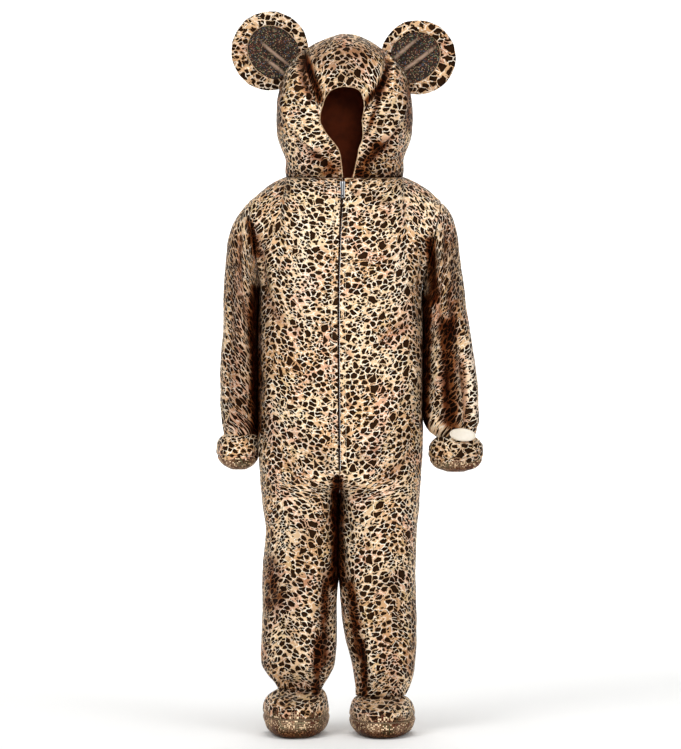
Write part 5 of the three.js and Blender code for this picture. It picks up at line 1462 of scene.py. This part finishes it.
def track(moved, normals, across, distance):
    """A line over the cloth at a fixed distance from its first column."""
    line, outward = [], []
    for row, facing, run in zip(moved, normals, across):
        line.append([np.interp(distance, run, row[:, axis]) for axis in range(3)])
        outward.append([np.interp(distance, run, facing[:, axis]) for axis in range(3)])
    return np.array(line), unit(np.array(outward))


def stitches(line, outward, pitch, length, lift, last_z):
    """Starts and ends of stitches of one length along a line."""
    run = lengths(line[None], 1)[0]
    starts, ends = [], []
    place = pitch
    while place + length < run[-1]:
        ends_of = []
        for at in (place, place + length):
            point = np.array([np.interp(at, run, line[:, axis]) for axis in range(3)])
            facing = np.array([np.interp(at, run, outward[:, axis]) for axis in range(3)])
            ends_of.append(point + facing * lift)
        if ends_of[1][2] < last_z:
            break
        starts.append(ends_of[0])
        ends.append(ends_of[1])
        place += pitch
    return starts, ends


def zip_line():
    """The middle of the closed zip, from the neck down."""
    v = np.linspace(0, 1, 80)
    z = np.linspace(CHEST_Z, CHAIN_BOTTOM_Z, 120)[1:]
    halves = []
    for side in (LEFT, RIGHT):
        upper = yoke_point(side, FRONT, np.zeros_like(v), v)
        lower = ring_point(side, FRONT, np.zeros_like(z), z)
        halves.append(np.concatenate([upper, lower]))
    return (halves[0] + halves[1]) / 2


COIL_PITCH = 1.5
STITCH_DISTANCE = 10
STITCH_PITCH = 3.9
STITCH_LENGTH = 2.7
STITCH_LIFT = 0.1


def zip_coil():
    line = zip_line()
    run = lengths(line[None], 1)[0]
    starts, ends = [], []
    for index in range(int((run[-1] - 8) / COIL_PITCH)):
        at = 6 + index * COIL_PITCH
        centre = np.array([np.interp(at, run, line[:, axis]) for axis in range(3)])
        centre[1] += 0.45
        reach = 1.15 if index % 2 else -1.15
        starts.append(centre + np.array([-0.25 * np.sign(reach), 0, 0]))
        ends.append(centre + np.array([reach, 0.1, 0]))
    mesh = capsules("zip_coil", starts, ends, 0.52)
    add_piece("zip_coil", mesh, COIL, ["zip_chain"])


def wrist_patch():
    columns = 72
    angle = np.arange(columns) / columns * 2 * math.pi
    shares = np.concatenate([np.linspace(1, 0.86, 8), np.linspace(0.86, 0, 10)[1:]])[:, None]
    across = PATCH["half_x"] * shares * np.cos(angle)
    up = PATCH["half_z"] * shares * np.sin(angle) - across * PATCH["tilt"]
    dome = 0.9 * (1 - shares ** 6) - 0.55 * bell((shares - 0.9) / 0.03)
    y = -PATCH["y"] + across ** 2 / (2 * PATCH["wrap"]) - dome
    points = stack(PATCH["x"] + across, y, PATCH["z"] + up)
    points[..., 1] += 0.25 * ripple(points, 12, 77) * (1 - shares)
    normals = np.broadcast_to(np.array([0.0, -1.0, 0.0]), points.shape)
    closed = np.concatenate([points, points[:, :1]], axis=1)
    uv = np.stack([closed[..., 0] * MM, closed[..., 2] * MM], axis=-1)
    mesh = grid_mesh("wrist_patch_cloth", points, normals, PATCH["thick"], uv, wrap=True)
    piece = add_piece("wrist_patch_cloth", mesh, CREAM, ["wrist_patch"])
    place = np.arange(52) / 52 * 2 * math.pi
    ring = []
    for shift in (-0.042, 0.042):
        x = PATCH["half_x"] * 0.9 * np.cos(place + shift)
        z = PATCH["half_z"] * 0.9 * np.sin(place + shift) - x * PATCH["tilt"]
        ring.append(stack(PATCH["x"] + x, -PATCH["y"] + x ** 2 / (2 * PATCH["wrap"]) - 0.45, PATCH["z"] + z))
    add_piece("wrist_patch_stitches", capsules("wrist_patch_stitches", ring[0], ring[1], 0.22), PALE_THREAD)


# Materials


def srgb(red, green, blue):
    """A linear colour from the 0 to 255 values that a screen shows."""
    def linear(value):
        value = value / 255
        return value / 12.92 if value <= 0.04045 else ((value + 0.055) / 1.055) ** 2.4
    return (linear(red), linear(green), linear(blue), 1.0)


# The pale tone is a painted highlight, the shade tone and the brown tone are painted shade, and the rust
# tone is both the print's own orange-brown patches and painted shade in the troughs of the folds.
CREAM_TONE = srgb(230, 198, 158)
HIGHLIGHT_TONE = srgb(252, 241, 222)
TAN_TONE = srgb(210, 166, 120)
PINK_TONE = srgb(222, 168, 146)
GOLD_TONE = srgb(204, 186, 128)
RUST_AND_TROUGH_SHADE_TONE = srgb(158, 92, 56)
DEEP_FOLD_SHADE_TONE = srgb(92, 50, 28)
SPOT_TONE = srgb(30, 15, 6)
SPOT_CENTRE_TONE = srgb(50, 30, 15)
SHADE_TONE = srgb(132, 92, 66)


class Nodes:
    """One material's nodes."""

    def __init__(self, name, finish=None):
        self.material = bpy.data.materials.new(name)
        self.material.use_nodes = True
        self.tree = self.material.node_tree
        self.shader = self.tree.nodes["Principled BSDF"]
        for socket, value in (finish or {}).items():
            self.shader.inputs[socket].default_value = value

    def put(self, kind, sockets=None, **settings):
        made = self.tree.nodes.new(kind)
        for key, value in settings.items():
            setattr(made, key, value)
        for key, value in (sockets or {}).items():
            self.feed(made.inputs[key], value)
        return made

    def feed(self, socket, value):
        if isinstance(value, bpy.types.NodeSocket):
            self.tree.links.new(value, socket)
        else:
            socket.default_value = value

    def give(self, socket, value):
        self.feed(self.shader.inputs[socket], value)

    def attribute(self, name):
        return self.put("ShaderNodeAttribute", attribute_name=name).outputs["Fac"]

    def cloth(self):
        """Metres over the cloth."""
        return self.put("ShaderNodeUVMap", uv_map="cloth").outputs[0]

    def place(self):
        """Metres in the suit's own frame."""
        return self.put("ShaderNodeTexCoord").outputs["Object"]

    def math(self, operation, first, second=0.0, third=0.0, clamp=False):
        made = self.put("ShaderNodeMath", {0: first, 1: second, 2: third}, operation=operation)
        made.use_clamp = clamp
        return made.outputs[0]

    def vector(self, operation, first, second=(0.0, 0.0, 0.0), scale=None):
        sockets = {0: first, 1: second}
        if scale is not None:
            sockets["Scale"] = scale
        return self.put("ShaderNodeVectorMath", sockets, operation=operation).outputs[0]

    def rise(self, value, low, high):
        """A smooth step from 0 at low to 1 at high."""
        made = self.put("ShaderNodeMapRange", {"Value": value, "From Min": low, "From Max": high},
                        interpolation_type="SMOOTHSTEP")
        return made.outputs[0]

    def blend(self, share, first, second, how="MIX"):
        made = self.put("ShaderNodeMix", data_type="RGBA", blend_type=how)
        self.feed(made.inputs[0], share)
        self.feed(made.inputs[6], first)
        self.feed(made.inputs[7], second)
        return made.outputs[2]

    def blend_number(self, share, first, second):
        made = self.put("ShaderNodeMix", {0: share, 2: first, 3: second}, data_type="FLOAT")
        return made.outputs[0]

    def noise(self, vector, scale, detail=2.0, roughness=0.5, dimensions="2D"):
        sockets = {"Vector": vector, "Scale": scale, "Detail": detail, "Roughness": roughness}
        return self.put("ShaderNodeTexNoise", sockets, noise_dimensions=dimensions)

    def voronoi(self, vector, scale, feature="F1", randomness=1.0, dimensions="2D"):
        return self.put("ShaderNodeTexVoronoi", {"Vector": vector, "Scale": scale, "Randomness": randomness},
                        feature=feature, voronoi_dimensions=dimensions)

    def bands(self, vector, scale, distortion, direction):
        sockets = {"Vector": vector, "Scale": scale, "Distortion": distortion}
        made = self.put("ShaderNodeTexWave", sockets, wave_type="BANDS", bands_direction=direction)
        return made.outputs["Fac"]

    def channel(self, colour, name):
        return self.put("ShaderNodeSeparateColor", {"Color": colour}).outputs[name]

    def bump(self, height, distance, strength=1.0, normal=None):
        sockets = {"Height": height, "Distance": distance, "Strength": strength}
        if normal is not None:
            sockets["Normal"] = normal
        return self.put("ShaderNodeBump", sockets).outputs[0]


def cloth_coordinates(nodes):
    """Metres over the cloth, a little warped so that the print isn't regular."""
    uv = nodes.cloth()
    warp = nodes.noise(uv, 110, detail=3.0, roughness=0.6)
    shift = nodes.vector("SUBTRACT", warp.outputs["Color"], (0.5, 0.5, 0.5))
    return uv, nodes.vector("ADD", uv, nodes.vector("SCALE", shift, scale=0.006))


def spots(nodes, vector, scale, low, high, gone, shade):
    """Rounded spots, one in each cell that has one, of uneven size, and larger in the shade."""
    edge = nodes.voronoi(vector, scale, "DISTANCE_TO_EDGE", 0.92).outputs["Distance"]
    cell = nodes.voronoi(vector, scale, "F1", 0.92)
    size = nodes.math("ADD", nodes.blend_number(nodes.channel(cell.outputs["Color"], 0), low, high),
                      nodes.math("MULTIPLY", shade, 0.07))
    kept = nodes.math("LESS_THAN", nodes.channel(cell.outputs["Color"], 1), 1 - gone)
    inside = nodes.math("SUBTRACT", size, cell.outputs["Distance"])
    mask = nodes.rise(nodes.math("MINIMUM", inside, nodes.math("SUBTRACT", edge, 0.045)), 0.0, 0.03)
    return nodes.math("MULTIPLY", mask, kept), edge


def leopard_colour(nodes):
    """Colour and spot mask of the leopard print, with painted shade in the troughs of the folds and under
    the shade strokes, and painted highlights.
    """
    uv, warped = cloth_coordinates(nodes)
    fold = nodes.attribute("fold")
    shade = nodes.attribute("shade")
    # Painted shade from the shade attribute, broken up by noise; it also draws the spots larger.
    patchy = nodes.blend_number(nodes.noise(uv, 48, detail=3.0).outputs[0], 0.3, 1.7)
    dark_shade = nodes.math("MULTIPLY", nodes.math("MAXIMUM", shade, 0.0), patchy, clamp=True)
    drawn = nodes.put("ShaderNodeMapping", {"Vector": warped, "Rotation": (0.0, 0.0, 0.5),
                                            "Scale": (0.84, 1.14, 1.0)}).outputs[0]
    splinters, _ = spots(nodes, drawn, 225, 0.2, 0.5, 0.5, dark_shade)
    small, small_edge = spots(nodes, drawn, 168, 0.3, 0.56, 0.05, dark_shade)
    middle, middle_edge = spots(nodes, drawn, 112, 0.33, 0.6, 0.03, dark_shade)
    large_edge = nodes.voronoi(warped, 74, "DISTANCE_TO_EDGE", 0.9).outputs["Distance"]
    large_cell = nodes.voronoi(warped, 74, "F1", 0.9).outputs["Color"]
    chosen = nodes.math("GREATER_THAN", nodes.channel(large_cell, 0), 0.86)
    zone = nodes.rise(nodes.noise(uv, 34, detail=1.0).outputs[0], 0.54, 0.57)
    mask = nodes.blend_number(zone, middle, small)
    network = nodes.blend_number(zone, middle_edge, small_edge)
    mask = nodes.math("MAXIMUM", mask, nodes.math("MULTIPLY", splinters, nodes.rise(network, 0.03, 0.06)))
    ring = nodes.math("MULTIPLY", chosen, nodes.rise(large_edge, 0.07, 0.09))
    large = nodes.math("MULTIPLY", chosen, nodes.rise(large_edge, 0.15, 0.18))
    outside = nodes.math("MULTIPLY", mask, nodes.math("SUBTRACT", 1.0, ring))
    mask = nodes.math("ADD", outside, large, clamp=True)

    broad = nodes.noise(uv, 13, detail=2.0)
    tone = nodes.blend(nodes.rise(broad.outputs[0], 0.35, 0.62), TAN_TONE, CREAM_TONE)
    tint = nodes.noise(nodes.vector("ADD", uv, (7.0, 3.0, 0.0)), 21, detail=1.0)
    tone = nodes.blend(nodes.math("MULTIPLY", nodes.rise(tint.outputs[0], 0.54, 0.68), 0.5), tone, PINK_TONE)
    gold = nodes.noise(nodes.vector("ADD", uv, (2.0, 9.0, 0.0)), 30, detail=1.0)
    tone = nodes.blend(nodes.math("MULTIPLY", nodes.rise(gold.outputs[0], 0.6, 0.72), 0.3), tone, GOLD_TONE)
    rust = nodes.noise(nodes.vector("ADD", uv, (5.0, 5.0, 0.0)), 24, detail=2.0)
    rust_share = nodes.math("MULTIPLY", nodes.rise(rust.outputs[0], 0.58, 0.74), 0.5)
    tone = nodes.blend(rust_share, tone, RUST_AND_TROUGH_SHADE_TONE)
    # Near-white streaks along the borders between the cells: painted highlights of the crushed nap.
    streak = nodes.noise(nodes.vector("MULTIPLY", uv, (1.0, 2.2, 1.0)), 85, detail=2.0)
    crackle_highlight = nodes.math("MULTIPLY", nodes.rise(streak.outputs[0], 0.4, 0.52), nodes.rise(network, 0.1, 0.02))
    tone = nodes.blend(crackle_highlight, tone, HIGHLIGHT_TONE)
    # Painted light where the strokes' strength is negative.
    tone = nodes.blend(nodes.math("MULTIPLY", nodes.rise(shade, 0.0, -0.5), 0.6), tone, HIGHLIGHT_TONE)
    # Painted shade in the troughs of the folds: orange-brown, and dark brown in the deepest.
    trough = nodes.math("MULTIPLY", nodes.rise(fold, -1.4, -5.0), 0.6)
    tone = nodes.blend(trough, tone, RUST_AND_TROUGH_SHADE_TONE)
    deep = nodes.math("MULTIPLY", nodes.rise(fold, -3.2, -8.0), 0.75)
    tone = nodes.blend(deep, tone, DEEP_FOLD_SHADE_TONE)

    centre = nodes.rise(nodes.math("MAXIMUM", network, nodes.math("MULTIPLY", large_edge, ring)), 0.22, 0.42)
    dark = nodes.blend(nodes.math("MULTIPLY", centre, 0.7), SPOT_TONE, SPOT_CENTRE_TONE)
    printed = nodes.blend(mask, tone, dark)
    # Painted shade under the shade strokes and where the cloth presses on its neighbour, darkening in two
    # steps.
    printed = nodes.blend(nodes.rise(dark_shade, 0.0, 0.6), printed, SHADE_TONE, "MULTIPLY")
    printed = nodes.blend(nodes.rise(dark_shade, 0.5, 1.0), printed, SHADE_TONE, "MULTIPLY")
    return uv, printed


def foil_colour(nodes, uv):
    """Fine metallic dots in red-brown, green and gold."""
    dots = nodes.voronoi(uv, 440, "F1", 0.25)
    dot = nodes.rise(dots.outputs["Distance"], 0.5, 0.38)
    hue = nodes.noise(uv, 42, detail=1.0).outputs[0]
    warm = nodes.blend(nodes.rise(hue, 0.42, 0.5), srgb(78, 26, 18), srgb(104, 66, 40))
    colour = nodes.blend(nodes.rise(hue, 0.52, 0.6), warm, srgb(58, 72, 48))
    pick = nodes.channel(dots.outputs["Color"], 0)
    colour = nodes.blend(nodes.rise(pick, 0.72, 0.8), colour, srgb(244, 218, 178))
    colour = nodes.blend(nodes.rise(pick, 0.3, 0.2), colour, srgb(44, 22, 12))
    ground = nodes.blend(nodes.rise(nodes.noise(uv, 26, detail=1.0).outputs[0], 0.4, 0.6),
                         srgb(108, 78, 60), srgb(190, 160, 130))
    return nodes.blend(dot, ground, colour), dot, dots.outputs["Color"]


def printed_cloth(name):
    """Shiny napped cloth with the print, and the foil dots where the foil attribute is 1."""
    nodes = Nodes(name, {"IOR": 1.15, "Specular Tint": srgb(214, 180, 142)})
    uv, print_colour = leopard_colour(nodes)
    foil, dot, flake = foil_colour(nodes, uv)
    share = nodes.attribute("foil")
    grain = nodes.channel(flake, 1)
    share = nodes.rise(nodes.math("ADD", share, nodes.math("MULTIPLY", grain, 0.25)), 0.55, 0.7)
    shade = nodes.attribute("shade")
    # Painted shade under the shade strokes.
    foil = nodes.blend(nodes.rise(shade, 0.1, 0.9), foil, SHADE_TONE, "MULTIPLY")
    colour = nodes.blend(share, print_colour, foil)
    nodes.give("Base Color", colour)

    plush = nodes.noise(uv, 150, detail=3.0, roughness=0.6).outputs[0]
    gloss = nodes.blend_number(nodes.rise(plush, 0.35, 0.65), 0.34, 0.52)
    dotted = nodes.math("MULTIPLY", share, dot)
    nodes.give("Roughness", nodes.blend_number(dotted, gloss, 0.28))
    nodes.give("Metallic", nodes.blend_number(dotted, 0.25, 0.5))

    drawn = nodes.vector("MULTIPLY", uv, (1.5, 1.0, 1.0))
    crushed = nodes.noise(drawn, 62, detail=3.0, roughness=0.55).outputs[0]
    pile = nodes.noise(uv, 1400, detail=1.0).outputs[0]
    flakes = nodes.math("MULTIPLY", nodes.channel(flake, 2), share)
    normal = nodes.bump(crushed, 0.0026)
    normal = nodes.bump(nodes.math("ADD", pile, flakes), 0.00022, normal=normal)
    nodes.give("Normal", normal)
    return nodes.material


def glitter_cloth():
    """Near-black cloth set with flakes that glint gold, green, blue and red."""
    nodes = Nodes("ear_glitter_cloth", {"Specular IOR Level": 0.14})
    uv = nodes.cloth()
    flakes = nodes.voronoi(uv, 620, "F1", 1.0)
    pick = nodes.channel(flakes.outputs["Color"], 0)
    hue = nodes.channel(flakes.outputs["Color"], 1)
    warm = nodes.blend(nodes.math("GREATER_THAN", hue, 0.36), srgb(120, 70, 52), srgb(150, 128, 100))
    cool = nodes.blend(nodes.math("GREATER_THAN", hue, 0.86), srgb(86, 100, 70), srgb(80, 88, 104))
    glint = nodes.blend(nodes.math("GREATER_THAN", hue, 0.7), warm, cool)
    inside = nodes.rise(flakes.outputs["Distance"], 0.42, 0.3)
    lit = nodes.math("MULTIPLY", nodes.math("GREATER_THAN", pick, 0.5), inside)
    cloud = nodes.noise(uv, 70, detail=2.0).outputs[0]
    ground = nodes.blend(cloud, srgb(20, 14, 9), srgb(50, 34, 22))
    # Painted highlights along the panels' raised ridges, broken up by noise.
    ridge = nodes.attribute("fold")
    colour = nodes.blend(lit, ground, glint)
    noise_blotches = nodes.rise(nodes.noise(uv, 160, detail=2.0).outputs[0], 0.12, 0.5)
    ridge_highlight = nodes.math("MULTIPLY", nodes.rise(ridge, 1.1, 3.4), noise_blotches)
    colour = nodes.blend(ridge_highlight, colour, srgb(158, 132, 112))
    nodes.give("Base Color", colour)
    nodes.give("Metallic", nodes.math("MULTIPLY", lit, 0.6))
    nodes.give("Roughness", nodes.blend_number(lit, 0.55, 0.36))
    tilt = nodes.channel(flakes.outputs["Color"], 2)
    nodes.give("Normal", nodes.bump(tilt, 0.0005))
    return nodes.material


def woven_cloth(name, dark, light, threads, roughness, sheen=0.0):
    """Plain weave: threads cross at right angles, with soft changes of tone."""
    nodes = Nodes(name, {"Sheen Weight": sheen, "Roughness": roughness})
    place = nodes.place()
    tone = nodes.noise(place, 55, detail=3.0, dimensions="3D").outputs[0]
    nodes.give("Base Color", nodes.blend(nodes.rise(tone, 0.3, 0.7), dark, light))
    weave, weft = nodes.bands(place, threads, 0.6, "X"), nodes.bands(place, threads, 0.6, "Z")
    nodes.give("Normal", nodes.bump(nodes.math("MULTIPLY", weave, weft), 0.00025))
    return nodes.material


def thread(name, dark, light):
    nodes = Nodes(name, {"Roughness": 0.6, "Specular IOR Level": 0.12})
    place = nodes.place()
    twist = nodes.noise(place, 900, detail=1.0, dimensions="3D").outputs[0]
    nodes.give("Base Color", nodes.blend(twist, dark, light))
    return nodes.material


def brushed_metal(name):
    nodes = Nodes(name, {"Metallic": 1.0})
    place = nodes.place()
    grain = nodes.noise(nodes.vector("MULTIPLY", place, (1.0, 1.0, 0.08)), 5200, detail=2.0, dimensions="3D")
    noise_blotches = nodes.noise(place, 420, detail=2.0, dimensions="3D").outputs[0]
    # Near-white stripes across the metal are painted highlights along its ribs.
    rib_highlights = nodes.bands(place, 112.0, 0.4, "X")
    grey = nodes.blend(noise_blotches, srgb(74, 76, 80), srgb(120, 122, 126))
    colour = nodes.blend(nodes.rise(rib_highlights, 0.5, 0.9), grey, srgb(232, 232, 234))
    nodes.give("Base Color", colour)
    nodes.give("Roughness", nodes.blend_number(grain.outputs[0], 0.22, 0.42))
    nodes.give("Normal", nodes.bump(grain.outputs[0], 0.00003))
    return nodes.material


def matt(name, colour, roughness):
    nodes = Nodes(name, {"Roughness": roughness, "Specular IOR Level": 0.2})
    place = nodes.place()
    tone = nodes.noise(place, 3, detail=2.0, dimensions="3D").outputs[0]
    darker = tuple(value * 0.985 for value in colour[:3]) + (1.0,)
    nodes.give("Base Color", nodes.blend(tone, darker, colour))
    return nodes.material


LEOPARD = printed_cloth("leopard_panne")
FOIL = printed_cloth("foil_dotted_panne")
GLITTER = glitter_cloth()
LINING = woven_cloth("lining_cloth", srgb(124, 50, 14), srgb(150, 64, 22), 700, 0.85)
TAPE = woven_cloth("zip_tape_cloth", srgb(44, 24, 12), srgb(74, 46, 26), 900, 0.75)
PALE_CLOTH = woven_cloth("pale_edge_cloth", srgb(176, 138, 100), srgb(222, 190, 150), 500, 0.6)
CREAM = woven_cloth("cream_patch_cloth", srgb(236, 224, 205), srgb(250, 242, 228), 620, 0.55, 0.4)
COIL = thread("zip_coil_thread", srgb(34, 17, 9), srgb(62, 36, 22))
PALE_THREAD = thread("pale_thread", srgb(214, 190, 154), srgb(248, 234, 208))
METAL = brushed_metal("zip_metal_brushed")

# Camera and stage: the photograph shows 1.5 mm of the suit's middle plane in a pixel

VIEW_HEIGHT = 1.1235
VIEW_CENTRE = (-0.0015, -0.26175)
CAMERA_DISTANCE = 5.0

camera_data = bpy.data.cameras.new("camera")
camera_data.sensor_fit = "VERTICAL"
camera_data.sensor_height = 24
camera_data.lens = camera_data.sensor_height * CAMERA_DISTANCE / VIEW_HEIGHT
camera = bpy.data.objects.new("camera", camera_data)
camera.location = (VIEW_CENTRE[0], -CAMERA_DISTANCE, VIEW_CENTRE[1])
camera.rotation_euler = (math.pi / 2, 0, 0)
bpy.context.collection.objects.link(camera)
bpy.context.scene.camera = camera


def backdrop():
    """A floor that runs into a wall behind the suit in one soft curve."""
    floor_z = cad_box[0][2] - 0.0005
    bend, depth, height, half = 2.5, 7.5, 8.0, 9.0
    profile = [(-8.0, floor_z), (depth - bend, floor_z)]
    for step in range(1, 17):
        angle = step / 16 * math.pi / 2
        profile.append((depth - bend + bend * math.sin(angle), floor_z + bend * (1 - math.cos(angle))))
    profile.append((depth, floor_z + height))
    vertices = [(x, y, z) for y, z in profile for x in (-half, half)]
    faces = [(2 * i, 2 * i + 1, 2 * i + 3, 2 * i + 2) for i in range(len(profile) - 1)]
    mesh = bpy.data.meshes.new("backdrop")
    mesh.from_pydata(vertices, [], faces)
    mesh.materials.append(matt("backdrop_paper", srgb(250, 250, 249), 0.9))
    for face in mesh.polygons:
        face.use_smooth = True
    stage = bpy.data.objects.new("backdrop", mesh)
    bpy.context.collection.objects.link(stage)


def area_light(name, place, size, power, target=(0, 0, -0.25)):
    data = bpy.data.lights.new(name, "AREA")
    data.shape = "SQUARE"
    data.size = size
    data.energy = power
    light = bpy.data.objects.new(name, data)
    light.location = place
    aim = Vector(target) - Vector(place)
    light.rotation_euler = aim.to_track_quat("-Z", "Y").to_euler()
    bpy.context.collection.objects.link(light)


backdrop()
area_light("key", (-1.9, -2.9, 1.5), 1.5, 58)
area_light("fill", (2.2, -2.7, 0.7), 1.6, 34)
area_light("front", (0.35, -4.6, 0.45), 0.8, 34)
area_light("top", (0.2, -0.6, 2.9), 1.6, 34)
area_light("back_wall", (0, 3.6, 4.2), 3.0, 330, target=(0, 7.5, 0.3))

world = bpy.data.worlds.new("studio")
world.use_nodes = True
world.node_tree.nodes["Background"].inputs["Color"].default_value = (1, 1, 1, 1)
world.node_tree.nodes["Background"].inputs["Strength"].default_value = 0.35
bpy.context.scene.world = world
bpy.context.scene.view_settings.view_transform = "Standard"

# Pieces

stitch_starts, stitch_ends = [], []
for side in (LEFT, RIGHT):
    moved, normals, across = body_piece(side, FRONT)
    line, outward = track(moved, normals, across, STITCH_DISTANCE)
    starts, ends = stitches(line, outward, STITCH_PITCH, STITCH_LENGTH, STITCH_LIFT, CHAIN_BOTTOM_Z)
    stitch_starts += starts
    stitch_ends += ends
    body_piece(side, BACK)
    sleeve_piece(side)
    name = side_name(side)
    tip = dict(count=7, height=6, below=8, lower="_tip", offset=(8.1 + side, 0.4))
    sole = dict(count=12, height=17, below=1, lower="_sole", offset=(9.6 + side, 0.9))
    pouch(side, f"mitt_{name}", mitt_ring, 6, 3.4, f"wrist_{name}", "mitt", tip)
    pouch(side, f"foot_{name}", foot_ring, 7, 3.7, f"ankle_{name}", "foot", sole)

topstitch = capsules("zip_topstitch", stitch_starts, stitch_ends, 0.24)
add_piece("zip_topstitch", topstitch, PALE_THREAD)
face_edge, face_normals = hood_panels()
face_hem(face_edge, face_normals)
hood_lining()
ear_space = hood_space()
ear_pieces("left", ear_space)
ear_pieces("right", ear_space)
bpy.data.objects.remove(ear_space)
zip_coil()
wrist_patch()

for node in ("zip_slider", "pull_tab"):
    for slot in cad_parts[node].material_slots:
        slot.material = METAL
for node in ("zip_tape_left", "zip_tape_right"):
    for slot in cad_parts[node].material_slots:
        slot.material = TAPE
